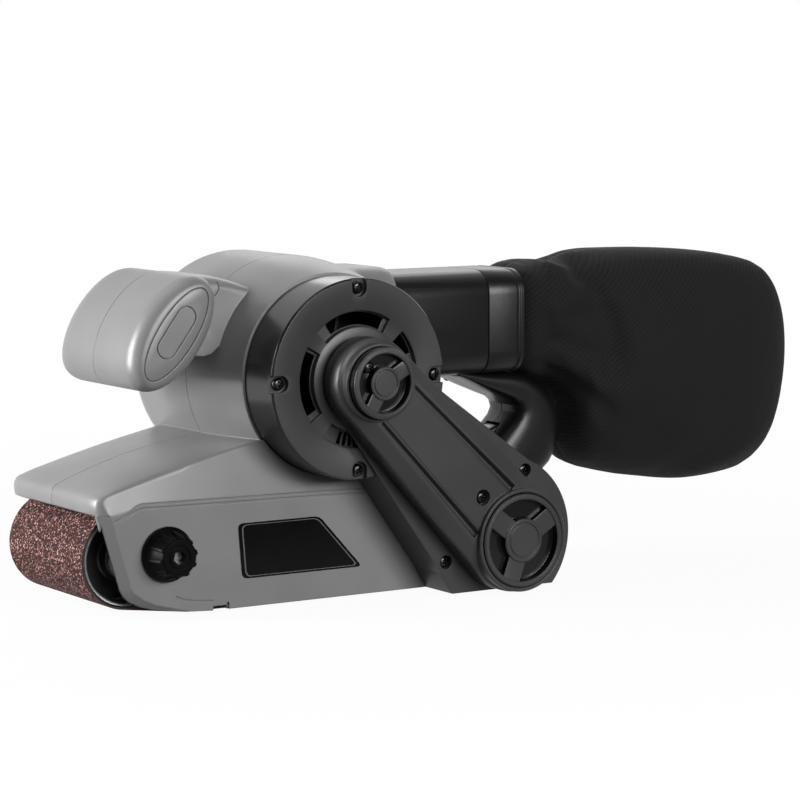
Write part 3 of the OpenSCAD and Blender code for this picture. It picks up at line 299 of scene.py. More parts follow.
# Brown fused aluminium oxide in resin. The grains are drawn 0.6 mm across so that
# they show; the broken ones catch the light as pale specks.
grit, tree, shader, place = blank("aluminium_oxide_grit")
grain = node(tree, "ShaderNodeTexVoronoi", {"Scale": 1000 / 0.6}, {"Vector": place})
one = node(tree, "ShaderNodeSeparateColor", links={"Color": grain.outputs["Color"]})
fine = node(tree, "ShaderNodeTexNoise", {"Scale": 1000 / 0.9, "Detail": 3.0, "Roughness": 0.75},
            {"Vector": place})
patch = node(tree, "ShaderNodeTexNoise", {"Scale": 1000 / 14, "Detail": 2.0}, {"Vector": place})
part = node(tree, "ShaderNodeMath", {1: 0.7}, {0: one.outputs["Red"]}, operation="MULTIPLY")
speck = node(tree, "ShaderNodeMath", {1: 0.2}, {0: fine.outputs["Fac"], 2: part.outputs[0]},
             operation="MULTIPLY_ADD")
drift = node(tree, "ShaderNodeMath", {1: 0.1}, {0: patch.outputs["Fac"], 2: speck.outputs[0]},
             operation="MULTIPLY_ADD")
tone = node(tree, "ShaderNodeValToRGB", links={"Fac": drift.outputs[0]},
            stops=((0.26, "#050202"), (0.47, "#2a1213"), (0.70, "#4e2222"), (0.75, "#7d514c"),
                   (0.86, "#cfaca4")))
tree.links.new(tone.outputs["Color"], shader.inputs["Base Color"])
shader.inputs["Roughness"].default_value = 0.75
shader.inputs["Specular IOR Level"].default_value = 0.2
rough = node(tree, "ShaderNodeBump", {"Strength": 0.9, "Distance": 0.0005}, {"Height": speck.outputs[0]})
tree.links.new(rough.outputs["Normal"], shader.inputs["Normal"])

# The belt's back: resin-filled cotton drill, a warm brown weave at a pitch under 2 mm.
# A wave texture at scale 1 draws its bands this many millimetres apart.
wave_band = 2000 / 6.28
drill, tree, shader, place = blank("belt_backing_cloth")
weave = node(tree, "ShaderNodeTexWave", {"Scale": wave_band / 1.6, "Distortion": 0.6}, {"Vector": place},
             bands_direction="DIAGONAL")
tone = node(tree, "ShaderNodeValToRGB", links={"Fac": weave.outputs["Fac"]},
            stops=((0.2, "#4a3226"), (0.8, "#7d5b45")))
tree.links.new(tone.outputs["Color"], shader.inputs["Base Color"])
shader.inputs["Roughness"].default_value = 0.8

# The belt's cut edges are painted dark brown, as painted shade on the narrow edges.
shaded_cut_edge, tree, shader, place = blank("painted_shade_edge")
edge_mottle = node(tree, "ShaderNodeTexNoise", {"Scale": 1000 / 0.5, "Detail": 2.0}, {"Vector": place})
tone = node(tree, "ShaderNodeValToRGB", links={"Fac": edge_mottle.outputs["Fac"]},
            stops=((0.3, "#1c1210"), (0.7, "#38241e")))
tree.links.new(tone.outputs["Color"], shader.inputs["Base Color"])
shader.inputs["Roughness"].default_value = 0.75

# The rollers and the bend at the platen are circles: x, z and radius.
belt_half = 38.0
front_roller = (-93.75, 27.5, 22.0)
drive_roller = (93.75, 26.9, 25.5)
bend = (-62.0, 5.0, 4.0)
belt_gap, belt_t = 0.4, 1.0


def belt_path(grown):
    """The circles that the belt's inner face is wrapped round, grown by some millimetres."""
    return [(front_roller[0], front_roller[1], front_roller[2] + belt_gap + grown),
            (bend[0], bend[1], bend[2] + grown),
            (drive_roller[0], drive_roller[1], drive_roller[2] + belt_gap + grown)]


path = wrap(belt_path(belt_t), 4)
belt = skinned("abrasive_belt", [ring_at(y, path) for y in (-belt_half, belt_half)], ends=False)
modify(belt, "SOLIDIFY", thickness=belt_t - 0.02, offset=-1)
for layer in (grit, drill, shaded_cut_edge):
    belt.data.materials.append(layer)
middle_of_loop = Vector((0, 0, 27.2))
# Faces across the belt's width, its cut edges, take the dark brown painted shade.
for face in belt.data.polygons:
    from_middle = face.center - middle_of_loop
    from_middle.y = 0
    inside = face.normal.dot(from_middle) < 0
    face.material_index = 2 if abs(face.normal.y) > 0.5 else int(inside)
settled(belt, "root", "abrasive", None, "sanding_belt")

# ---- Rollers and fork ------------------------------------------------------
# The front roller is an aluminium tyre, turned on its rim, with a deep pocket in each
# end whose floor and hub are painted black, as painted shade in the pocket; it runs on
# needle bearings in a cast fork. The drive roller carries black rubber lagging.


def turned(name, profile, at, steps=96):
    """A closed section of (radius, y) points spun about the Y axis through at (x, z)."""
    piece = loop_of(name, [(at[0] + r, y, at[1]) for r, y in profile])
    bpy.ops.object.mode_set(mode="EDIT")
    bpy.ops.mesh.select_mode(type="EDGE")
    bpy.ops.mesh.select_all(action="DESELECT")
    mesh = bmesh.from_edit_mesh(piece.data)
    for edge in mesh.edges:
        edge.select_set(all(abs(v.co.x - at[0]) < 1e-5 for v in edge.verts))
    bmesh.update_edit_mesh(piece.data)
    bpy.ops.mesh.delete(type="EDGE")
    bpy.ops.mesh.select_mode(type="VERT")
    bpy.ops.mesh.select_all(action="SELECT")
    bpy.ops.mesh.spin(steps=steps, angle=math.tau, center=(at[0], 0, at[1]), axis=(0, 1, 0))
    bpy.ops.object.mode_set(mode="OBJECT")
    return tidy(piece)


def metal(name, dark, light, roughness, grain_mm, bump):
    """A bare metal whose colour, roughness and surface follow a grain of grain_mm."""
    material, tree, shader, place = blank(name)
    shader.inputs["Metallic"].default_value = 1.0
    texture = node(tree, "ShaderNodeTexNoise", {"Scale": 1000 / grain_mm, "Detail": 3.0}, {"Vector": place})
    tone = node(tree, "ShaderNodeValToRGB", links={"Fac": texture.outputs["Fac"]},
                stops=((0.3, dark), (0.7, light)))
    tree.links.new(tone.outputs["Color"], shader.inputs["Base Color"])
    spread = node(tree, "ShaderNodeMapRange", {"To Min": roughness * 0.7, "To Max": roughness * 1.3},
                  {"Value": texture.outputs["Fac"]})
    tree.links.new(spread.outputs["Result"], shader.inputs["Roughness"])
    rise = node(tree, "ShaderNodeBump", {"Strength": bump, "Distance": 0.0003},
                {"Height": texture.outputs["Fac"]})
    tree.links.new(rise.outputs["Normal"], shader.inputs["Normal"])
    return material


def dress(material, *names):
    """Gives CAD nodes whose shape is right their real finish."""
    for name in names:
        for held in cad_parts[name].material_slots:
            held.material = material


# Shot-blasted die casting: pale and softly mottled. Turned steel is darker and
# smoother, and ground steel is almost a mirror.
cast_alloy = metal("die_cast_aluminium", "#a0a1a2", "#c6c7c8", 0.42, 0.9, 0.35)
turned_steel = metal("turned_steel", "#8d8e90", "#b2b3b5", 0.30, 0.5, 0.12)
ground_steel = metal("ground_bearing_steel", "#b9babc", "#cfd0d2", 0.16, 0.4, 0.05)
roller_half, shaded_pocket_r = 37.5, 18.85
end = [(r, roller_half - depth) for r, depth in (
    (8.05, 3.3), (9.0, 3.0), (9.5, 3.5), (10.0, 8.4), (10.8, 9.0), (18.9, 9.0), (19.7, 8.4), (20.3, 1.2),
    (20.5, 0.5), (21.0, 0.1), (21.6, 0), (21.95, 0.4))]
roller = turned("front_roller_tyre_and_hub", [(r, -y) for r, y in end] + end[::-1], front_roller)
dress(ground_steel, "roller_bearings", "drive_bearings", "motor_bearings")
dress(turned_steel, "front_axle", "fork_pin", "tension_rod", "drive_roller", "drive_shaft", "tracking_screw",
      "lever_pin", "armature_shaft")
dress(cast_alloy, "roller_fork")

# Moulded nitrile rubber, ground after moulding: near black, dull, with a fine
# crosswise grinding grain that breaks up the light.
rubber, tree, shader, place = blank("ground_black_rubber")
stretch = node(tree, "ShaderNodeMapping", {"Scale": (1.0, 0.15, 1.0)}, {"Vector": place})
lay = node(tree, "ShaderNodeTexNoise", {"Scale": 1000 / 0.6, "Detail": 3.0},
           {"Vector": stretch.outputs["Vector"]})
tone = node(tree, "ShaderNodeValToRGB", links={"Fac": lay.outputs["Fac"]},
            stops=((0.3, "#111112"), (0.7, "#222223")))
tree.links.new(tone.outputs["Color"], shader.inputs["Base Color"])
shader.inputs["Roughness"].default_value = 0.78
rise = node(tree, "ShaderNodeBump", {"Strength": 0.4, "Distance": 0.0003}, {"Height": lay.outputs["Fac"]})
tree.links.new(rise.outputs["Normal"], shader.inputs["Normal"])
dress(rubber, "roller_lagging", "timing_belt")

# ---- Frame, platen and tension spring --------------------------------------
# The base is one aluminium casting. A sprung steel plate is riveted under it and
# faced with graphite cloth, on which the belt slides.

# Graphite-coated canvas: dark grey, with a greasy sheen and the canvas showing.
graphite, tree, shader, place = blank("graphite_canvas")
threads = node(tree, "ShaderNodeTexWave", {"Scale": wave_band / 2.4, "Distortion": 0.4}, {"Vector": place})
tone = node(tree, "ShaderNodeValToRGB", links={"Fac": threads.outputs["Fac"]},
            stops=((0.2, "#2c2d2f"), (0.8, "#47494c")))
tree.links.new(tone.outputs["Color"], shader.inputs["Base Color"])
shader.inputs["Roughness"].default_value = 0.45
# Hard-drawn spring wire and rolled plate: bright with a grey drawing film.
spring_steel = metal("drawn_spring_steel", "#6f7175", "#9b9da1", 0.34, 0.3, 0.10)
dress(cast_alloy, "main_frame")
dress(graphite, "platen_pad")
dress(spring_steel, "platen_plate", "tension_spring", "trigger_spring")

# ---- Motor and belt drive --------------------------------------------------
# A universal motor lies across the tool: laminated cores, lacquered copper coils,
# carbon brushes and a moulded fan. Toothed pulleys carry the drive down to the roller.

# Stacked silicon-steel sheets, seen edge on: fine stripes 2 mm apart, dull blue grey.
laminated, tree, shader, place = blank("stacked_laminations")
shader.inputs["Metallic"].default_value = 1.0
stripes = node(tree, "ShaderNodeTexWave", {"Scale": wave_band / 2.0}, {"Vector": place},
               bands_direction="Y")
tone = node(tree, "ShaderNodeValToRGB", links={"Fac": stripes.outputs["Fac"]},
            stops=((0.3, "#3c3e42"), (0.7, "#74777c")))
tree.links.new(tone.outputs["Color"], shader.inputs["Base Color"])
shader.inputs["Roughness"].default_value = 0.45

# Enamelled winding wire under varnish: orange copper strands 1.6 mm apart.
winding, tree, shader, place = blank("varnished_copper_wire")
shader.inputs["Metallic"].default_value = 1.0
strands = node(tree, "ShaderNodeTexWave", {"Scale": wave_band / 1.6, "Distortion": 1.5}, {"Vector": place},
               bands_direction="Y")
tone = node(tree, "ShaderNodeValToRGB", links={"Fac": strands.outputs["Fac"]},
            stops=((0.2, "#5e2f17"), (0.8, "#b8683a")))
tree.links.new(tone.outputs["Color"], shader.inputs["Base Color"])
shader.inputs["Roughness"].default_value = 0.28

# Pressed carbon: almost black, with a dull metallic glint from the graphite in it.
carbon = metal("pressed_carbon", "#1a1a1b", "#39393b", 0.6, 0.4, 0.2)
dress(laminated, "rotor_core", "stator_core")
dress(winding, "armature_windings", "field_coils", "commutator")
dress(carbon, "carbon_brushes")
dress(turned_steel, "driven_pulley", "motor_pulley")


def plastic(name, dark, light, roughness, grain_mm=0.35, bump=0.25, bevel=0.0005, gloss=0.5):
    """A moulded plastic with a spark-eroded grain, and the small round that every
    moulded edge has."""
    material, tree, shader, place = blank(name)
    texture = node(tree, "ShaderNodeTexNoise", {"Scale": 1000 / grain_mm, "Detail": 2.0}, {"Vector": place})
    cloud = node(tree, "ShaderNodeTexNoise", {"Scale": 1000 / 38, "Detail": 2.0}, {"Vector": place})
    tone = node(tree, "ShaderNodeValToRGB", links={"Fac": cloud.outputs["Fac"]},
                stops=((0.35, dark), (0.65, light)))
    tree.links.new(tone.outputs["Color"], shader.inputs["Base Color"])
    spread = node(tree, "ShaderNodeMapRange", {"To Min": roughness * 0.88, "To Max": roughness * 1.12},
                  {"Value": texture.outputs["Fac"]})
    tree.links.new(spread.outputs["Result"], shader.inputs["Roughness"])
    edge = node(tree, "ShaderNodeBevel", {"Radius": bevel}, samples=6)
    rise = node(tree, "ShaderNodeBump", {"Strength": bump, "Distance": 0.0001},
                {"Height": texture.outputs["Fac"], "Normal": edge.outputs["Normal"]})
    tree.links.new(rise.outputs["Normal"], shader.inputs["Normal"])
    shader.inputs["IOR"].default_value = 1.5
    shader.inputs["Specular IOR Level"].default_value = gloss
    return material


# Glass-filled nylon straight from a grained tool: near black and satin. The case, the
# cover and the flange are the same plastic, a shade greyer, polished in places.
black_plastic = plastic("grained_black_nylon", "#0c0c0d", "#111112", 0.34, gloss=0.4)
dark_plastic = plastic("grained_charcoal_nylon", "#323233", "#3a3a3b", 0.36, gloss=0.45)
# The polished black also darkens the hub caps' dishes, as painted shade in the recess.
gloss_plastic = plastic("polished_black_nylon", "#08080a", "#0c0c0d", 0.22, 0.8, 0.06)
# Faces near the axis, the pocket's floor and the hub, get the black nylon: painted shade inside the pocket.
# The rim stays aluminium.
for slot_material in (cast_alloy, black_plastic):
    roller.data.materials.append(slot_material)
for face in roller.data.polygons:
    off_axis = math.hypot(face.center.x - front_roller[0], face.center.z - front_roller[1])
    face.material_index = int(off_axis < shaded_pocket_r)
settled(roller, "front_roller", "cast_aluminium", None, "front_roller")
dress(black_plastic, "cooling_fan", "brush_holders", "brush_caps", "switch_body")
dress(dark_plastic, "drive_case")

# ---- Housing ---------------------------------------------------------------
# Two grey nylon shells meet on the centre plane. They form the motor barrel, the
# hood over the belt, the side wall, the duct's root and the neck of the front grip.


def fused(piece, *others, kind="UNION"):
    """Unites closed pieces with the first, or cuts them out of it, and removes them."""
    for other in others:
        modify(piece, "BOOLEAN", operation=kind, solver="EXACT", object=other)
        bpy.data.objects.remove(other)
    return piece


def minus(piece, *tools):
    return fused(piece, *tools, kind="DIFFERENCE")


def polar(centre, r, degrees):
    """The point at a radius and an angle round a centre."""
    return centre[0] + r * math.cos(math.radians(degrees)), centre[1] + r * math.sin(math.radians(degrees))


def arc(centre, r, start, end, count):
    """Points on an arc, in degrees."""
    return [polar(centre, r, start + (end - start) * i / count) for i in range(count + 1)]


def rod(name, at, r, y0, y1, count=48):
    """A cylinder across the tool from y0 to y1."""
    return slab(name, arc(at, r, 0, 360, count)[:-1], y0, y1)


def ribbon(name, path, half_width, y0, y1):
    """A thin strip of constant width that follows a path in the XZ plane."""
    left, right = [], []
    for i, point in enumerate(path):
        before, after = path[max(i - 1, 0)], path[min(i + 1, len(path) - 1)]
        dx, dz = after[0] - before[0], after[1] - before[1]
        size = math.hypot(dx, dz)
        left.append((point[0] - dz / size * half_width, point[1] + dx / size * half_width))
        right.append((point[0] + dz / size * half_width, point[1] - dx / size * half_width))
    return slab(name, left + right[::-1], y0, y1)


def block(name, x0, x1, z0, z1):
    return slab(name, [(x0, z0), (x1, z0), (x1, z1), (x0, z1)], -80, 90)


def halved(piece, names, gap=0.12):
    """Parts a closed piece on the centre plane into a left and a right shell."""
    halves = []
    for name, side in zip(names, (-1, 1)):
        only(piece)
        bpy.ops.object.duplicate()
        shell = bpy.context.object
        shell.name = shell.data.name = name
        edit(shell)
        bpy.ops.mesh.bisect(plane_co=(0, side * gap, 0), plane_no=(0, side, 0), use_fill=True,
                            clear_inner=True)
        bpy.ops.object.mode_set(mode="OBJECT")
        halves.append(tidy(shell))
    bpy.data.objects.remove(piece)
    return halves


motor = (13.4, 107.3)
# The barrel and its dome, the hood's nose and deck, the side wall and the open side.
barrel_r, barrel_end_r, dome_r, right_end, seat_y = 55.0, 48.6, 22.0, 68.0, 43.0
nose_x, nose_z, brow_z, deck_z, hood_r = -113.25, 49.0, 59.0, 78.4, 37.0
deck_x = motor[0] - math.sqrt(barrel_r ** 2 - (motor[1] - deck_z) ** 2)
rear = drive_roller[:2]
wall_y, open_y, floor_gap = 47.3, 45.0, 1.2
floor_z = rear[1] + 28.5


def deck_at(x, y=0.0):
    """Height of the deck, which is domed along and across between the nose and the barrel."""
    slope = (deck_z - brow_z) / (deck_x - nose_x - 2.5)
    if x < deck_x + 2:
        span = (deck_x - nose_x) / 2
        dome = 3.2 * (1 - ((x - nose_x - span) / span) ** 2) * (1 - 0.8 * (y / 45) ** 2)
        return brow_z + slope * (x - nose_x - 2.5) + max(dome, 0)
    return deck_z + 2 * slope + 1.1 * min(1, (x - deck_x - 2) / 40) - max(0, (x - 20) / 40) ** 2 * 2.0


def groove_at(x):
    """Height of the moulded line along the hood's side."""
    rise = min(max((x + 105) / 14.7, 0), 1)
    return 46.9 + (6.0 * rise * rise * (3 - 2 * rise)) - max(0, x + 90.3) / 120.9 * 1.6


def hood_ring(y, e, back=0.0, leaning=False, cavity=False):
    """The hood's outline at y, drawn in by e, with the nose set back. The leaning ring
    stops at the moulded line."""
    low = -30 if cavity else nose_z
    front = nose_x + e + back
    points = [(front + 2.0, low), (front + 0.6, low + 0.8), (front + 0.2, low + 2.2)]
    points += [(front, 54.2), (front + 0.3, 56.2 - e / 2), (front + 1.2, 58.0 - e)]
    start = front + 2.9
    deck = [start + (59.4 - start) * i / 26 for i in range(27)]
    points += [(x, deck_at(x, y) - (0.3 if i == 0 else 0) - e * 1.04) for i, x in enumerate(deck)]
    if cavity:
        points += arc(rear, hood_r - e, 84, 0, 30) + [(rear[0] + hood_r - e, low)]
    else:
        points += arc(rear, hood_r - e, 84, -43.9, 40) + arc(rear, hood_r - e, 223.9, 144, 16)
    if leaning:
        points = [(x, min(z, max(nose_z + 0.8, groove_at(x) + 1.3) + max(0, x - 40) * 0.5) if x < 90 else z)
                  for x, z in points]
    return ring_at(y, points)


# The hood: crowned across the deck, with a soft ridge, and a side face that leans out
# to the wall.
flat, ridge = hood_ring(-wall_y + 0.01, 0.0, 5.8, leaning=True), hood_ring(-45.4, 1.2, 1.8)
rings = [flat] + [[tuple(p + (q - p) * part for p, q in zip(*pair)) for pair in zip(flat, ridge)]
                  for part in (0.12, 0.3, 0.5, 0.7, 0.88)] + [ridge]
rings += [hood_ring(y, e, back) for y, e, back in ((-44.9, 0.65, 1.6), (-44.1, 0.35, 0.9), (-42.5, 0.2, 0.3))]
rings += [hood_ring(y, 0.2 * (y / 45) ** 2) for y in (-36, -27, -18, -9, 0, 9, 18, 27, 36)]
rings += [hood_ring(y, e, e) for y, e in ((41.5, 0.3), (43.4, 0.8), (open_y - 0.4, 1.8), (open_y, 2.8))]
hood = skinned("hood", rings)

# The barrel: it narrows towards the flange and ends in a dome with air slots.


def barrel_profile(e, seat, end):
    """The barrel's half section, drawn in by e, from its seat to its domed end."""
    bell = [(barrel_r - e - (barrel_r - barrel_end_r) * (i / 10) ** 2, -seat_y * i / 10)
            for i in range(10, -1, -1)]
    dome = arc((barrel_r - dome_r, right_end - dome_r), dome_r - e, 0, 90, 12)
    first = 0 if seat != seat_y else 1
    return [(0, -seat), (bell[0][0], -seat)] + bell[first:] + dome + [(0, right_end - end)]


barrel = turned("barrel", barrel_profile(0, seat_y, 0), motor)
barrel = minus(barrel, block("below_bay", -80, 110, 0, floor_z))


def rounded_ring(x, half_y, z0, z1, r):
    """A rectangle with rounded corners in the YZ plane at x."""
    points = []
    for cy, cz, start in ((half_y - r, z1 - r, 0), (r - half_y, z1 - r, 90), (r - half_y, z0 + r, 180),
                          (half_y - r, z0 + r, 270)):
        points += [(x, *polar((cy, cz), r, start + a)) for a in range(0, 91, 15)]
    return points


# The duct's root swells out of the barrel, and its rim is rounded over.
root = skinned("duct_root", [rounded_ring(*station) for station in (
    (20, 27, 97.5, 156, 14), (44, 27, 97.5, 156, 14), (56, 26.9, 97.6, 155.8, 13.8),
    (60.2, 26.5, 98.0, 155.2, 13.4), (61.5, 26.0, 98.5, 154.5, 13), (62, 25.4, 99.1, 153.6, 12.4))])

# The neck of the grip is a thick web, rounded along its top, whose beak reaches over
# the barrel.
neck_y = 25.0
# Each point of the neck's outline has its share of the rounding that drops its edges.
neck_line = [(-58, 121, -0.3), (-60, 148, 1), (-58, 155.8, 1), (-46, 155.7, 1), (-38, 155.0, 1),
             (-29.6, 152.9, 0.9), (-21.6, 150.2, 0.7), (-18.1, 148.8, 0.3), (-17.3, 147.4, 0),
             (-20.5, 141.0, 0), (-10.6, 137.3, 0), (-30, 122, 0), (-37.4, 122.2, 0), (-41.3, 118.9, 0),
             (-45.5, 116.9, -0.2), (-52, 117.2, -0.3)]
sides = [(neck_y, 4.6), (neck_y - 0.8, 2.9), (neck_y - 2.4, 1.4), (neck_y - 5.5, 0.4), (neck_y - 10, 0.0)]
neck = skinned("grip_neck", [[(x, y, z - drop * down) for x, z, down in neck_line] for y, drop in
                             [(-y, drop) for y, drop in sides] + sides[::-1]])

# The side wall's front edge is thickened, and cut back at 45 degrees.
front = [(nose_x + 0.8, nose_z + 0.6), (nose_x + 11.0, 14.4), (nose_x + 12.8, 11.0), (nose_x + 15.8, 8.2),
         (nose_x + 21.3, 5.6), (nose_x + 27, 4.1), (nose_x + 38, 2.4), (nose_x + 48, floor_gap + 0.1)]
ways = [(1.0, 0.0), (1.02, 0.15), (0.95, 0.4), (0.75, 0.65), (0.45, 0.65), (0.3, 0.5), (0.15, 0.3),
        (0.0, 0.1)]


def wall_ring(y, shift, rib=None):
    """The wall's outline at y with its front edge drawn in by shift, or a rib along it."""
    def edge(e):
        return [(x + wx * e, z + wz * e) for (x, z), (wx, wz) in zip(front, ways)]
    line = edge(shift)
    if rib:
        outline = line + edge(rib)[::-1]
    else:
        outline = line + [(-54, floor_gap), (-54, 3.2), (-46, 3.2), (-46, floor_gap)]
        outline += arc(rear, hood_r - 0.1, -43.9, 36, 24)
    return ring_at(y, outline)


wall = skinned("side_wall", [wall_ring(depth - wall_y, shift) for depth, shift in
                             ((0, 5.5), (0.3, 5.1), (3.0, 0.8))])
rib = skinned("wall_front_rib", [wall_ring(depth - wall_y, shift, 9.0) for depth, shift in
                                 ((2.9, 0.9), (3.4, 0.1), (5.0, 0.0))])
housing = fused(barrel, hood, root, neck, wall, rib)

# Hollow inside: the motor bay, the duct's throat and the space over the belt.
bay = turned("motor_bay", barrel_profile(3, seat_y + 5, 3), motor, 72)
bay = minus(bay, block("bay_floor", -60, 90, 40, floor_z + 3))
throat = skinned("throat", [rounded_ring(x, 22.5, 102, 149.5, 10) for x in (44, 70)])
over_belt = skinned("space_over_belt", [hood_ring(y, 3.0, 0.5, cavity=True)
                                        for y in (-42.2, -20, 0, 20, open_y + 1)])
over_belt = minus(over_belt, slab("bay_kept", arc(motor, barrel_r - 0.5, -70.5, 250.5, 60), -60, 60))
by_wall = slab("space_by_wall", [(nose_x + 3, -20), (nose_x + 3, 53), (115.5, 53)] +
               arc(rear, 34, 48, 0, 8) + [(127.75, -20)], -44.3, open_y + 1)
room = slab("belt_room", wrap(belt_path(2.5), 5), -41.4, open_y + 2)
seat = rod("flange_seat", motor, 47.8, -60, -seat_y, 96)
housing = minus(housing, bay, throat, over_belt, by_wall, room, seat)

# Bosses for the screws that hold the shells together, air slots, and brush holes.
housing_spots = [(-58.6, 66.3), (73.75, 66.3)]
neck_spot = (-43.6, 135.3)
housing = fused(housing, *[rod("boss", p, 4.4, -20, open_y, 32) for p in housing_spots])
slots = []
for i in range(12):
    slots.append(slab("slot", wrap([(*polar(motor, r, 90 - 30 * i), 1.5) for r in (20.5, 29.5)], 20), 60, 72))
holes = []
for a in (150, -30):
    clear()
    way = Vector((math.cos(math.radians(a)), 0, math.sin(math.radians(a))))
    bpy.ops.mesh.primitive_cylinder_add(vertices=40, radius=6.6, depth=24,
                                        location=Vector((motor[0], 39, motor[1])) + way * 50)
    hole = bpy.context.object
    hole.rotation_mode = "QUATERNION"
    hole.rotation_quaternion = way.to_track_quat("Z", "Y")
    bpy.ops.object.transform_apply(location=True, rotation=True, scale=True)
    holes.append(hole)
spots = [-105 + i * 1.5 for i in range(12)] + list(range(-87, 33, 8)) + [33.6]
lines = [ribbon("moulded_line", [(x, groove_at(x) + offset * min(1, (x + 106.5) / 14)) for x in spots],
                0.32, -wall_y - 1, -wall_y + 0.45) for offset in (-1.0, 1.0)]
seam_line = [(-40.2, 157), (-39.9, 154.8), (-37.8, 152.3), (-37.2, 149), (-38.9, 146.3), (-41.9, 145.0),
             (-48, 144.4)]
lines.append(ribbon("neck_seam", seam_line, 0.16, -neck_y - 1, -neck_y + 1.5))
step = ribbon("bottom_line", [(-73.6, 9.5), (-70, 8.0), (-64, 6.6), (-54.1, 5.8)], 0.3,
              -wall_y - 1, -wall_y + 0.4)
slit = slab("bottom_slot", [(-46.6, 0), (-46.6, 4.4), (-45.4, 4.4), (-45.4, 0)], -wall_y - 1, -wall_y + 1.4)
housing = minus(housing, joined("slots", slots), *holes, *lines, step, slit,
                rod("neck_screw_hole", neck_spot, 2.0, 8, neck_y + 1, 24))

# Glass-filled nylon in mid grey, from a grained tool: satin, with soft broad
# highlights on the barrel and a fine tooth close up.
grey_plastic = plastic("grained_grey_nylon", "#727273", "#7a7a7b", 0.38, 0.45, 0.22, 0.0008, 0.65)
for shell, replaced in zip(halved(housing, ("left_shell", "right_shell")), ("left_housing", "right_housing")):
    settled(shell, "root", "grey_housing", grey_plastic, replaced)

# ---- Front grip ------------------------------------------------------------
# Two grey shells with rounded ends, closed at each end by a pressed-in oval cap.
grip_at, grip_half, grip_long, grip_thick, cap_rim = (-68.0, 130.2), 40.0, 30.6, 17.0, 7.0
lean = (math.sin(math.radians(36.5)), math.cos(math.radians(36.5)))


def beside(at, way, forward, left):
    """The point so far forward from a place along a direction, and so far to its left."""
    return at[0] + way[0] * forward - way[1] * left, at[1] + way[1] * forward + way[0] * left


def grip_ring(y, e):
    """The grip's oval section at y, drawn in by e."""
    points = []
    for i in range(72):
        c, s = polar((0, 0), 1, 5 * i)
        points.append(beside(grip_at, lean, (grip_long - 0.74 * e) * c, (grip_thick - e) * s))
    return ring_at(y, points)


def grip_end(soft):
    """Steps of y and inset over a rounded end that starts soft millimetres before it."""
    turns = [polar((0, 0), 1, a) for a in range(0, 91, 9)]
    rounded = [(grip_half - soft + soft * s, cap_rim * (1 - c)) for c, s in turns]
    return rounded + [(grip_half, 7.15), (grip_half - 0.3, 7.3), (grip_half - 1.8, 7.3)]


grip = skinned("grip_shell", [grip_ring(-y, e) for y, e in grip_end(8.5)[::-1]] +
               [grip_ring(y, e) for y, e in grip_end(14)])
for shell, replaced in zip(halved(grip, ("left_grip_shell", "right_grip_shell")),
                           ("front_grip_left", "front_grip_right")):
    settled(shell, "root", "grey_housing", grey_plastic, replaced)
caps = []
for side in (-1, 1):
    cap = skinned("grip_cap", [grip_ring(side * y, e) for y, e in (
        (grip_half - 1.85, 7.55), (grip_half - 0.5, 7.55), (grip_half - 0.2, 7.7), (grip_half - 0.1, 8.0))])
    oval = [[(grip_at[0] + lean[0] * a, grip_at[1] + 0.8 + lean[1] * a, r) for a in (-8.5, 8.5)]
            for r in (5.2, 4.8)]
    groove = slab("oval_groove", wrap(oval[0], 9), *sorted(side * (grip_half + y) for y in (-0.8, 1)))
    island = slab("oval_island", wrap(oval[1], 9), *sorted(side * (grip_half + y) for y in (-1, 2)))
    caps.append(minus(cap, minus(groove, island)))
settled(joined("grip_caps", caps), "root", "grey_housing", grey_plastic, "grip_end_caps")

# ---- Motor flange ----------------------------------------------------------
# The flange carries the armature's near bearing. Its band is polished; its face is
# grained, with a sunk ring of air inlets bridged by bars.
flange_y, band_r = 68.2, 46.6
section = [(8.0, -seat_y - 1), (15.0, -seat_y - 1), (15.0, 4 - flange_y), (44.5, 4 - flange_y),
           (44.5, -seat_y - 0.1), (47.3, -seat_y - 0.1), (47.5, -seat_y - 0.4)]
section += [(r, depth - flange_y) for r, depth in (
    (47.5, 0.9), (46.7, 0), (33.4, 0), (32.3, 0.5), (32.0, 3.0), (25.2, 3.0), (24.8, 0.3), (24.2, 0),
    (19.4, 0), (18.9, 0.5), (8.0, 0.5))]
flange = turned("motor_flange_moulding", section, motor, 120)


def sector(name, r0, r1, a0, a1, y0, y1):
    """A piece of a ring between two angles, in degrees."""
    count = max(3, round((a1 - a0) / 5))
    return slab(name, arc(motor, r1, a0, a1, count) + arc(motor, r0, a1, a0, count), y0, y1)


windows = [sector("window", 25.6, 31.6, a0, a1, -flange_y - 2, 6 - flange_y) for a0, a1 in
           [(62, 123), (152, 211), (20, 40), (318, 344)] + [(a, a + 3.6) for a in range(249, 274, 6)]]
flange = minus(flange, joined("windows", windows))
flange = fused(flange, *[sector("bar", 24.4, 32.6, a0, a1, 0.4 - flange_y, 4 - flange_y) for a0, a1 in
                         ((135, 149), (42, 58), (216, 233), (296, 312))])
quarters = (90, 180, 270, 0)
flange_spots = [polar(motor, 43, a) for a in quarters]
notches = [slab("screw_notch", wrap([(*polar(motor, r, a), 4.0) for r in (42.6, 53)], 12),
                -flange_y - 2, 3 - flange_y) for a in quarters]
flange = minus(flange, joined("screw_notches", notches))
flange = fused(flange, *[rod("lug", polar(motor, 42, a), 4.9, 3.02 - flange_y, -seat_y - 0.2, 32)
                         for a in quarters])
for surface in (dark_plastic, gloss_plastic):
    flange.data.materials.append(surface)
for face in flange.data.polygons:
    off_axis = math.hypot(face.center.x - motor[0], face.center.z - motor[1])
    face.material_index = int(off_axis > band_r and abs(face.normal.y) < 0.8)
settled(flange, "root", "black_plastic", None, "motor_flange", crease=28)

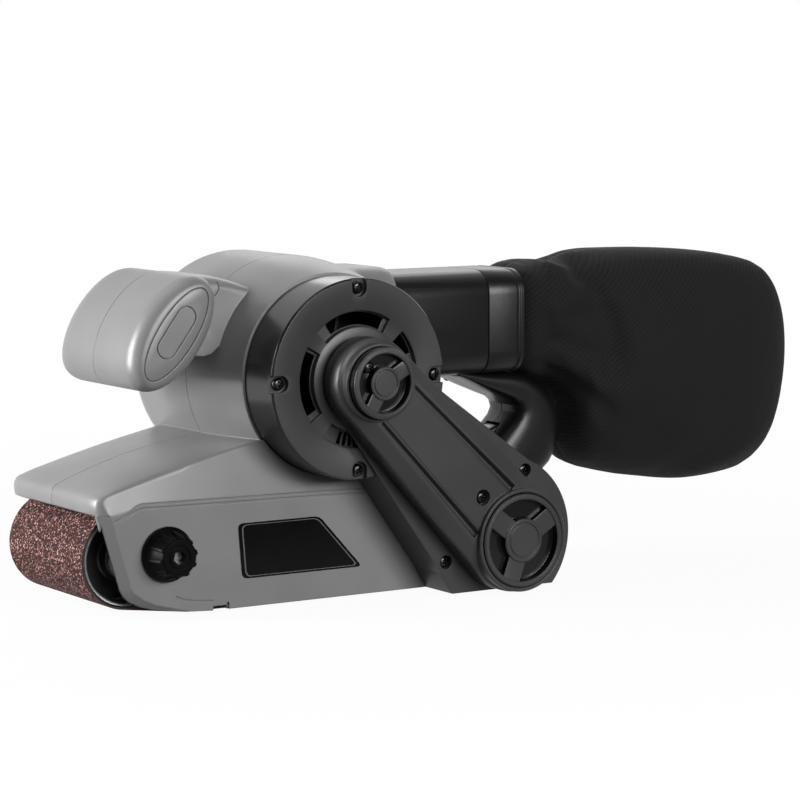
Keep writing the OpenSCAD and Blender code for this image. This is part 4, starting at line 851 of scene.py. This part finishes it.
# ---- Belt cover ------------------------------------------------------------
# One charcoal moulding over the toothed belt: a raised strip between two V grooves,
# flat facets beside it, and round lands for the hub caps.
case_y, cover_y, land_y, motor_cap_y, roller_cap_y = 70.4, 85.0, 87.1, 91.2, 88.4
motor_cap_r, roller_cap_r = 16.7, 22.6
along = Vector((rear[0] - motor[0], rear[1] - motor[1])).normalized()


def cover_ring(y, e):
    """The cover's outline at y, drawn in by e."""
    return ring_at(y, wrap([(*motor, 20.6 - e), (*rear, 25.7 - e)], 5))


cover = skinned("belt_cover_moulding", [cover_ring(y, e) for y, e in (
    (-case_y - 0.1, 0.25), (-case_y - 0.5, 0.0), (4.0 - cover_y, 0.0), (3.2 - cover_y, 0.5),
    (0.5 - cover_y, 6.2), (0.35 - cover_y, 6.9))])
strip = slab("raised_strip", [beside(motor, along, a, b) for a, b in
                              ((0, -9.5), (113.6, -13.0), (113.6, 13.0), (0, 9.5))], -cover_y, 3 - cover_y)
modify(strip, "BEVEL", width=0.7, segments=2, limit_method="ANGLE", angle_limit=math.radians(50))
boss = turned("motor_land", [(0, -case_y - 1), (18.6, -case_y - 1), (18.2, -86.0), (17.9, -86.2),
                             (17.0, -86.2), (16.9, -84.6), (0, -84.6)], motor)
land = turned("roller_land", [(0, -case_y - 1), (24.9, -case_y - 1), (24.9, -land_y), (24.5, -87.6),
                              (23.5, -87.6), (22.9, -87.0), (22.8, -83.4), (0, -83.4)], rear)
cover = fused(cover, strip, boss, land)


def vee_ring(y, line, w):
    """A V groove's outline at y, along a line: half of w wide at its motor end."""
    return ring_at(y, [beside(p, along, 0, w * s) for p, s in
                       ((line[0], -0.45), (line[1], -1), (line[1], 1), (line[0], 0.45))])


vees = []
for side in (-1, 1):
    line = [beside(motor, along, a, b * side) for a, b in ((15.0, 11.9), (93.0, 14.6))]
    vees.append(skinned("vee", [vee_ring(depth - cover_y, line, w) for depth, w in
                                ((-1, 2.9), (0.1, 2.2), (2.6, 0.7))]))
arm_screw = (rear[0] - 21.5, rear[1] + 22)
pit = turned("arm_screw_pit", [(r, depth - cover_y) for r, depth in
                               ((0, -2), (4.4, -2), (3.9, 0.2), (3.5, 3), (0, 3))], arm_screw, 40)
sunk = [turned("cap_seat", [(0, y - 5), (r, y - 5), (r, y), (0, y)], p, 72) for p, r, y in
        ((motor, motor_cap_r + 0.15, -84.4), (rear, roller_cap_r + 0.15, -83.2))]
cover = minus(cover, *vees, pit, *sunk)
settled(cover, "root", "black_plastic", dark_plastic, "belt_cover")

# ---- Hub caps --------------------------------------------------------------
# Two charcoal caps snap into the cover: a raised rim, three or two wide spokes, and a
# flat disc with a ring turned into it. The dish behind the spokes is polished black, and
# its darker black is painted shade in the recess.


def hub_cap(name, at, r, y_out, y_in, spokes, dish=4.2):
    """A cap of radius r from y_in to y_out, with spokes at angles in degrees."""
    section = [(0, -y_in), (r, -y_in)] + [(radius, depth - y_out) for radius, depth in (
        (r, 0.9), (r - 0.7, 0.1), (r - 2.2, 0), (r - 2.8, 0.5), (r - 3.1, dish), (r * 0.49, dish),
        (r * 0.47, 0.5), (r * 0.44, 0), (r * 0.395, 0), (r * 0.385, 0.55), (r * 0.355, 0.55),
        (r * 0.345, 0.05), (0, 0.05))]
    cap = turned(name, section, at)
    bars = []
    for a in spokes:
        way, w = polar((0, 0), 1, a), r * 0.22
        outline = [beside(at, way, q, s * w) for q, s in
                   ((r * 0.4, -1), (r - 1.2, -1), (r - 1.2, 1), (r * 0.4, 1))]
        bar = slab("spoke", outline, 0.9 - y_out, 1 + dish - y_out)
        bars.append(modify(bar, "BEVEL", width=0.35, segments=2))
    cap = fused(cap, *bars)
    # The dish's faces get the polished black: glossy, and darker than the charcoal as painted shade.
    for surface in (dark_plastic, gloss_plastic):
        cap.data.materials.append(surface)
    for face in cap.data.polygons:
        face.material_index = int(face.center.y > 1.6 - y_out)
    return cap


small_cap = hub_cap("motor_hub_cap", motor, motor_cap_r, motor_cap_y, 84.2, (30, 240))
hub_screw = polar(motor, 11, 135)
small_cap = minus(small_cap, rod("hub_screw_hole", hub_screw, 1.7, -92, -84.6, 24))
settled(small_cap, "root", "black_plastic", None, "motor_cap")
large_cap = hub_cap("roller_hub_cap", rear, roller_cap_r, roller_cap_y, 83.0, (32, 143, 250))
settled(large_cap, "root", "black_plastic", None, "roller_cap")

# ---- Screws ----------------------------------------------------------------
# Thread-forming pan-head screws with a cross recess, blackened and oiled.

# Black oxide on steel: near black, with sharp small glints.
oxide, tree, shader, place = blank("black_oxide_steel")
shader.inputs["Metallic"].default_value = 1.0
film = node(tree, "ShaderNodeTexNoise", {"Scale": 1000 / 0.8, "Detail": 2.0}, {"Vector": place})
tone = node(tree, "ShaderNodeValToRGB", links={"Fac": film.outputs["Fac"]},
            stops=((0.35, "#2d2d2f"), (0.7, "#4b4b4e")))
tree.links.new(tone.outputs["Color"], shader.inputs["Base Color"])
shader.inputs["Roughness"].default_value = 0.27
edge_round = node(tree, "ShaderNodeBevel", {"Radius": 0.00015}, samples=4)
tree.links.new(edge_round.outputs["Normal"], shader.inputs["Normal"])

screw = turned("pan_head_screw", [(0, -2.2), (1.6, -2.15), (2.4, -1.85), (2.95, -1.2), (3.1, -0.5),
                                  (3.0, 0.0), (1.6, 0.0), (1.6, 5.0), (0, 5.0)], (0, 0), 40)
crosses = []
for turn in (0, 90):
    blade = skinned("blade", [ring_at(y, ((-w, -t), (w, -t), (w, t), (-w, t)))
                              for y, w, t in ((-3.0, 1.9, 0.5), (-0.9, 1.3, 0.28))])
    blade.data.transform(Matrix.Rotation(math.radians(turn), 4, "Y"))
    crosses.append(blade)
screw = minus(screw, *crosses)


def screws(name, spots, side=-1):
    """Copies of the screw at (x, z) spots, each with the y that its head stands on and
    its size."""
    made = []
    for i, (spot, y, size) in enumerate(spots):
        only(screw)
        bpy.ops.object.duplicate()
        copy = bpy.context.object
        spin = Matrix.Rotation(math.radians(20 + 53 * i), 4, "Y")
        flip = Matrix.Identity(4) if side < 0 else Matrix.Rotation(math.pi, 4, "Z")
        copy.data.transform(Matrix.Translation((spot[0], y, spot[1])) @ flip @ spin @ Matrix.Scale(size, 4))
        made.append(copy)
    return settled(joined("black_" + name, made), "root", "black_screws", oxide, name)


screws("flange_screws", [(spot, 3 - flange_y, 1.0) for spot in flange_spots])
screws("case_screws", [((rear[0] + dx, rear[1] + dz), 3 - case_y, 1.0) for dx, dz in ((13, 31), (-33, -10))])
screws("cover_screws", [(arm_screw, 3 - cover_y, 1.0), (hub_screw, 3.4 - motor_cap_y, 0.9)])
screws("housing_screws", [(spot, open_y, 1.15) for spot in housing_spots] + [(neck_spot, neck_y, 1.15)],
       side=1)

# ---- Tracking knob ---------------------------------------------------------
# A black acetal cone on the tracking screw, with ribs for the fingers round its tip
# and a hexagon socket for a key.
knob_at, knob_y, tip = (-78.55, 30.0), 47.6, 13
knob = turned("tracking_knob_moulding", [(r, -knob_y - out) for r, out in (
    (0, 0), (12.5, 0), (12.9, 0.4), (12.9, 2.2), (12.5, 2.7), (10.9, 4.1), (9.3, 8.5), (8.8, 12.4),
    (8.2, tip), (0, tip))], knob_at, 80)
ribs = []
for i in range(10):
    way = polar((0, 0), 1, 36 * i + 10)
    rings = [ring_at(-knob_y - out, [beside(knob_at, way, q, s * 1.15) for q, s in
                                     ((6, -1), (r, -1), (r + 0.35, 0), (r, 1), (6, 1))])
             for out, r in ((3.2, 11.3), (9.5, 10.2), (12.3, 9.5))]
    ribs.append(skinned("finger_rib", rings))
knob = fused(knob, *ribs)
hexagon = slab("hex_socket", arc(knob_at, 3.3, 15, 375, 6)[:-1], -knob_y - tip - 1, -knob_y - 7)
ring = minus(rod("ring_groove", knob_at, 5.6, -knob_y - tip - 1, -knob_y - tip + 0.5, 40),
             rod("ring_core", knob_at, 4.9, -knob_y - tip - 2, -knob_y - tip + 1, 40))
knob = minus(knob, hexagon, ring)
# Turned from black acetal: darker than the nylon, and smooth from the tool.
acetal = plastic("black_acetal", "#020202", "#030303", 0.42, 0.6, 0.08, gloss=0.08)
settled(knob, "tracking_knob", "black_plastic", acetal, "tracking_knob")

# ---- Nameplate -------------------------------------------------------------
# A blank polyester label, printed gloss black with a fine grey border line.
corners = [(-40.6, 41.0), (3.6, 41.0), (27.4, 14.8), (-38.4, 14.8)]


def rounded_outline(points, r, shrink=1.0):
    """A polygon with its corners rounded, shrunk about its middle."""
    middle = Vector([sum(c) / len(points) for c in zip(*points)])
    out = []
    for i, point in enumerate(points):
        corner = Vector(point)
        first = corner + (Vector(points[i - 1]) - corner).normalized() * r
        last = corner + (Vector(points[(i + 1) % len(points)]) - corner).normalized() * r
        for k in range(7):
            t = k / 6
            spot = first * (1 - t) ** 2 + corner * 2 * t * (1 - t) + last * t * t
            out.append(tuple(middle + (spot - middle) * shrink))
    return out


label = slab("label_sheet", rounded_outline(corners, 3.0), -wall_y - 0.45, -wall_y + 0.02)
border = minus(slab("label_border", rounded_outline(corners, 3.0, 0.94), -wall_y - 0.5, -wall_y - 0.4),
               slab("border_inside", rounded_outline(corners, 3.0, 0.915), -wall_y - 1, -wall_y))
# Gloss polyester film over black print: a clear sharp reflection, slightly wavy. The
# border is the same film printed grey.
film_black, tree, shader, place = blank("gloss_label_film")
wave = node(tree, "ShaderNodeTexNoise", {"Scale": 1000 / 9, "Detail": 1.0}, {"Vector": place})
ripple = node(tree, "ShaderNodeBump", {"Strength": 0.12, "Distance": 0.0004}, {"Height": wave.outputs["Fac"]})
tree.links.new(ripple.outputs["Normal"], shader.inputs["Normal"])
tone = node(tree, "ShaderNodeValToRGB", links={"Fac": wave.outputs["Fac"]},
            stops=((0.3, "#030304"), (0.7, "#060607")))
tree.links.new(tone.outputs["Color"], shader.inputs["Base Color"])
shader.inputs["Roughness"].default_value = 0.14
shader.inputs["Specular IOR Level"].default_value = 0.2
film_grey, tree, shader, place = blank("printed_grey_line")
ink = node(tree, "ShaderNodeTexNoise", {"Scale": 1000 / 0.6, "Detail": 2.0}, {"Vector": place})
tone = node(tree, "ShaderNodeValToRGB", links={"Fac": ink.outputs["Fac"]},
            stops=((0.3, "#56585a"), (0.7, "#626466")))
tree.links.new(tone.outputs["Color"], shader.inputs["Base Color"])
shader.inputs["Roughness"].default_value = 0.2
label.data.materials.append(film_black)
border.data.materials.append(film_grey)
settled(joined("blank_label", [label, border]), "root", "label", None, "nameplate")
dress(black_plastic, "release_lever")

# ---- Dust duct and collar --------------------------------------------------
# A black rounded duct leads from the fan to the bag's collar, which plugs into it
# and ends in a rolled lip.


def shell_of(name, outer, inner):
    """A tube: an outer skin of rings less an inner one that runs past both its ends."""
    return minus(skinned(name, outer), skinned("bore", inner))


def port_ring(x, inset, round_off=0.0):
    """The duct's outline at x, drawn in by inset, with its corners rounder by round_off."""
    return rounded_ring(x, 25 - inset, 99.5 + inset, 152 - inset, 12 - inset + round_off)


duct = shell_of("dust_duct_moulding",
                [port_ring(*c) for c in ((44, 0), (115.4, 0), (116.1, 0.15), (116.4, 0.6, 0.1))],
                [port_ring(x, 2.5) for x in (40, 120)])
duct = minus(duct, rod("motor_side", motor, barrel_r - 0.6, -30, 30, 96))
settled(duct, "root", "black_plastic", black_plastic, "dust_duct")
collar_rings = [(102.4, 2.8), (116.2, 2.8), (116.5, 0.8), (116.75, 0.3), (117.3, 0), (133.6, 0),
                (134.4, 0.5, 0.1), (135.2, 0.5, 0.1), (136.0, 0), (137.9, 0), (138.6, 0.6, 0.1)]
collar = shell_of("bag_collar_moulding", [port_ring(*c) for c in collar_rings],
                  [port_ring(x, 4.8, 0.2) for x in (100, 142)])
settled(collar, "dust_bag", "black_plastic", black_plastic, "bag_collar")

# ---- Dust bag --------------------------------------------------------------
# A sewn bag of black twill: two shaped sides joined by a gusset, gathered over the
# collar's spigot. It stands out by itself, and pulls into soft folds at the collar.
# Each station is x, the lower and upper edge of the side, half the thickness, and how
# square the section is.
stations = [(139.0, 101.0, 150.6, 23.0, 5.0), (143.0, 100.3, 152.8, 24.6, 4.6),
            (148.0, 99.2, 154.3, 27.0, 4.0),
            (153.0, 97.2, 155.3, 29.0, 3.6), (159.0, 93.2, 156.3, 30.6, 3.3), (165.0, 88.4, 156.9, 32.0, 3.1),
            (170.0, 82.6, 157.3, 33.0, 3.0), (173.0, 75.5, 157.6, 33.6, 2.9), (175.4, 66.5, 157.8, 34.0, 2.8),
            (177.6, 57.5, 158.0, 34.3, 2.8), (181.6, 50.0, 158.2, 34.7, 2.7), (188.6, 44.8, 158.5, 35.2, 2.6),
            (199.0, 41.8, 158.7, 35.7, 2.6), (210.0, 39.2, 158.8, 36.0, 2.5), (224.0, 36.8, 158.7, 36.1, 2.5),
            (240.0, 34.6, 158.2, 35.8, 2.5), (256.0, 33.5, 157.2, 35.0, 2.5), (272.0, 33.8, 155.6, 33.4, 2.5),
            (286.0, 35.0, 153.6, 31.2, 2.5), (297.0, 37.8, 151.5, 28.2, 2.4), (306.0, 42.6, 148.9, 24.6, 2.4),
            (313.5, 50.8, 144.6, 20.4, 2.3), (319.5, 63.0, 137.2, 15.6, 2.2), (323.6, 78.0, 127.0, 10.8, 2.1),
            (326.2, 91.0, 116.0, 6.0, 2.0), (327.0, 98.0, 110.0, 2.5, 2.0)]


def superellipse(power, count):
    """Points round a unit superellipse: a circle at power 2, nearly a square at 5."""
    turns = [(math.cos(math.tau * i / count), math.sin(math.tau * i / count)) for i in range(count)]
    return [[math.copysign(abs(v) ** (2 / power), v) for v in turn] for turn in turns]


def soft_ring(x, lo, hi, half_y, power):
    return [(x, half_y * a, (lo + hi) / 2 + (hi - lo) / 2 * b) for a, b in superellipse(power, 48)]


def hill(*terms):
    """A smooth bump of height 1 where every (value, middle, width) is at its middle."""
    return math.exp(-sum(((value - middle) / width) ** 2 for value, middle, width in terms))


def unit(value):
    return min(1, max(0, value))


bag = skinned("dust_bag_cloth", [soft_ring(*s) for s in stations])
bag.data.transform(Matrix.Scale(0.001, 4))
modify(bag, "REMESH", mode="VOXEL", voxel_size=0.0048)
# Soft folds fan out from the collar, and long hollows cross the lower corner.
held = bag.vertex_groups.new(name="held")
shape = {}
for vertex in bag.data.vertices:
    x, y, z = (c * 1000 for c in vertex.co)
    held.add([vertex.index], unit((149 - x) / 7) * 0.999 + 0.001, "REPLACE")
    out = Vector((vertex.normal.x * 0.2, vertex.normal.y, vertex.normal.z))
    side = 1 if y > 0 else -1
    fan = math.atan2(z - 118, x - 128) + 0.1 * side
    near = hill((x, 163, 24)) * unit((x - 143) / 8)
    fold = near * (1.5 * math.sin(fan * 15 + 0.06 * x + side) + 0.9 * math.sin(fan * 31 + 1.7))
    fold += hill((x, 200, 46), (z, 62, 24)) * 1.2 * math.sin((x * 0.55 + z) * 0.17 + side)
    fold += hill((x, 268, 40), (z, 48, 13)) * 1.3 * math.sin((x * 0.7 - z * 1.2) * 0.15)
    fold -= hill((x + (z - 150) * 0.30, 178, 7.0)) * unit((z - 90) / 30) * 1.5
    vertex.co += out * fold * 0.001
    shape[vertex.index] = vertex.co.copy()
cloth = bag.modifiers.new("cloth", "CLOTH")
cloth.settings.effector_weights.gravity = 0
for name, value in {"quality": 6, "use_pressure": True, "uniform_pressure_force": 3.0,
                    "vertex_group_mass": "held", "tension_stiffness": 24, "compression_stiffness": 24,
                    "bending_stiffness": 0.8, "shrink_min": 0.012}.items():
    setattr(cloth.settings, name, value)
last_tick, furthest = 16, 0.004
bpy.context.scene.frame_start, bpy.context.scene.frame_end = 1, 20
for tick in range(1, last_tick + 1):
    bpy.context.scene.frame_set(tick)
only(bag)
bpy.ops.object.modifier_apply(modifier="cloth")
bpy.context.scene.frame_set(1)
for vertex in bag.data.vertices:
    moved = vertex.co - shape[vertex.index]
    if moved.length > furthest:
        vertex.co = shape[vertex.index] + moved.normalized() * furthest
bag.vertex_groups.clear()
modify(bag, "SMOOTH", factor=0.5, iterations=2)
modify(bag, "SUBSURF", levels=1)

# Black polyester-cotton twill: diagonal ribs 2 mm apart, soft and dull, with a
# faint sheen along the ribs, and a stitched seam round the middle.
twill, tree, shader, place = blank("black_twill_cloth")
slant = node(tree, "ShaderNodeMapping", {"Rotation": (0, math.radians(38), 0)}, {"Vector": place})
weave = node(tree, "ShaderNodeTexWave",
             {"Scale": wave_band / 2.0, "Distortion": 1.2, "Detail": 2.0, "Detail Scale": 1.5},
             {"Vector": slant.outputs["Vector"]}, bands_direction="Z")
fluff = node(tree, "ShaderNodeTexNoise", {"Scale": 1000 / 0.7, "Detail": 3.0}, {"Vector": place})
worn = node(tree, "ShaderNodeTexNoise", {"Scale": 1000 / 30, "Detail": 3.0}, {"Vector": place})
mixed_height = node(tree, "ShaderNodeMath", {1: 0.6}, {0: fluff.outputs["Fac"], 2: weave.outputs["Fac"]},
                    operation="MULTIPLY_ADD")
shade = node(tree, "ShaderNodeMath", {1: 0.5}, {0: worn.outputs["Fac"], 2: mixed_height.outputs[0]},
             operation="MULTIPLY_ADD")
tone = node(tree, "ShaderNodeValToRGB", links={"Fac": shade.outputs[0]},
            stops=((0.25, "#040404"), (1.0, "#161616")))
tree.links.new(tone.outputs["Color"], shader.inputs["Base Color"])
apart = node(tree, "ShaderNodeSeparateXYZ", links={"Vector": place})
off = node(tree, "ShaderNodeMath", links={0: apart.outputs["Y"]}, operation="ABSOLUTE")
seam = node(tree, "ShaderNodeMapRange",
            {"From Min": 0.0004, "From Max": 0.0022, "To Min": -2.2, "To Max": 0.0},
            {"Value": off.outputs[0]}, interpolation_type="SMOOTHSTEP")
height = node(tree, "ShaderNodeMath", links={0: mixed_height.outputs[0], 1: seam.outputs["Result"]},
              operation="ADD")
bumped = node(tree, "ShaderNodeBump", {"Strength": 0.5, "Distance": 0.0003}, {"Height": height.outputs[0]})
tree.links.new(bumped.outputs["Normal"], shader.inputs["Normal"])
shader.inputs["Roughness"].default_value = 0.85
shader.inputs["Specular IOR Level"].default_value = 0.25
shader.inputs["Sheen Weight"].default_value = 0.02
shader.inputs["Sheen Roughness"].default_value = 0.4
bag.data.materials.append(twill)
only(bag)
bpy.ops.object.shade_smooth()
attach(bag, "dust_bag")
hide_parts("dust_bag")

# ---- Rear handle -----------------------------------------------------------
# Two black shells make a rounded D-grip from the duct's underside round to the hood,
# with a fine groove where they part. The trigger sits in its inner edge, and the lock
# button and cord gland on the right.
handle_half, squareness = 17, 3.4
# Each span is a point on the inner edge and the point across from it on the outer one.
spans = [((104.0, 98.8), (104.2, 101.4)), ((108.0, 97.6), (108.6, 101.0)), ((120.0, 92.0), (122.6, 99.9)),
         ((131.5, 87.2), (136.5, 99.4)), ((138.4, 84.6), (147.0, 97.6)), ((141.4, 81.8), (156.0, 92.8)),
         ((141.8, 78.4), (164.0, 85.6)), ((139.4, 75.0), (169.2, 78.6)), ((135.2, 71.6), (171.6, 71.2)),
         ((130.6, 67.0), (170.6, 63.4)), ((127.0, 63.6), (168.0, 56.8)), ((123.2, 59.8), (164.8, 51.6)),
         ((120.0, 56.8), (160.0, 47.4)), ((117.2, 53.4), (152.0, 42.8)), ((115.2, 49.8), (143.0, 38.6)),
         ((114.0, 46.4), (133.6, 34.4)), ((112.6, 44.6), (127.6, 31.6)), ((108.0, 42.0), (124.6, 29.6))]
rings = []
for inner, outer in spans:
    middle = Vector(((inner[0] + outer[0]) / 2, (inner[1] + outer[1]) / 2))
    arm = Vector(outer) - middle
    rings.append([(middle[0] + arm[0] * a, handle_half * b, middle[1] + arm[1] * a)
                  for a, b in superellipse(squareness, 40)])
grip = skinned("rear_grip", rings)
pivot = (136.75, 68.5)


def by_trigger(a, b, swing=0.0):
    """A point a along the trigger's slanting edge and b across it, swung about its pin."""
    x, z = -0.72 * a - 0.694 * b, -0.694 * a + 0.72 * b
    c, s = math.cos(math.radians(swing)), math.sin(math.radians(swing))
    return pivot[0] + x * c - z * s, pivot[1] + x * s + z * c


rim = [(-3.8, 0), (-2.9, 3.4), (3.6, 12.9), (16.4, 13.8), (19.9, 10.4), (19.9, 1.6), (4.2, -4.8),
       (-2.6, -4.3)]
pockets = [slab("trigger_pocket", [by_trigger(a, b, swing) for a, b in rim], -6.35, 6.35) for swing in (0, 9)]
grip = minus(grip, rod("hood_side", rear, hood_r - 1.5, -30, 30, 72), *pockets)
handle_spots = [(155.75, 84.0), (159.0, 57.0), (116.5, 96.4)]
parting = ribbon("parting_line", [inner for inner, outer in spans[:10]], 0.6, -0.25, 0.25)
grip = minus(grip, parting)
left_grip, right_grip = halved(grip, ("left_handle_shell", "right_handle_shell"))
button_at, gland_at = (149.75, 66.0), (143.75, 51.0)
right_grip = minus(right_grip, rod("button_hole", button_at, 5.3, 8, 24, 40),
                   rod("gland_hole", gland_at, 6.55, 8, 24, 40),
                   *[rod("screw_pit", spot, 3.9, 15.2, 24, 32) for spot in handle_spots[:2]])
settled(left_grip, "root", "black_plastic", black_plastic, "handle_left")
settled(right_grip, "root", "black_plastic", black_plastic, "handle_right")
screws("handle_screws", [(spot, *seated) for spot, seated in
                         zip(handle_spots, ((16.2, 1.0), (16.2, 1.0), (12.0, 0.85)))], side=1)
bpy.data.objects.remove(screw)

outline = [(-3, 0), (-2.4, 2.2), (0.2, 3.8), (4, 5.6), (9, 8.6), (13, 11.2), (16, 12.6), (18.4, 11.6),
           (19, 9.6), (19, 2.6), (17, 1.6), (4, -4), (0, -4.2), (-2, -3.2)]
trigger = slab("trigger_lever", [by_trigger(a, b) for a, b in outline], -6, 6)
modify(trigger, "BEVEL", width=1.3, segments=3, limit_method="ANGLE", angle_limit=math.radians(60))
trigger = minus(trigger, rod("pin_hole", pivot, 2.05, -8, 8, 24))
settled(trigger, "trigger", "black_plastic", black_plastic, "trigger")
pin_r, pin_half = 2, 11
end = [(0, pin_half), (pin_r - 0.3, pin_half), (pin_r, pin_half - 0.3)]
pin = turned("trigger_pin_dowel", [(r, -y) for r, y in end] + end[::-1], pivot, 32)
settled(pin, "root", "steel", turned_steel, "trigger_pin")
button = turned("lock_button_cap", [(0, 11), (4.6, 11), (5, 11.4), (5, 20.4), (4.5, 20.95), (3.9, 21),
                                    (3.2, 20.5), (1.8, 20.2), (0, 20.1)], button_at, 40)
settled(button, "lock_button", "black_plastic", black_plastic, "lock_button")
gland = turned("cord_gland_boot", [(4.05, 10), (6.5, 10), (6.5, 17), (7.7, 17.1), (8, 17.5), (8, 19.5),
                                   (7.6, 20), (6.4, 20.2), (6.0, 21.4), (6.3, 21.9), (6.2, 22.7), (5.8, 23.1),
                                   (5.6, 24.1), (5.9, 24.6), (5.8, 25.4), (5.5, 25.8), (5.4, 26.6), (5.0, 27),
                                   (4.05, 27)], gland_at, 48)
settled(gland, "root", "black_rubber", rubber, "cord_gland")
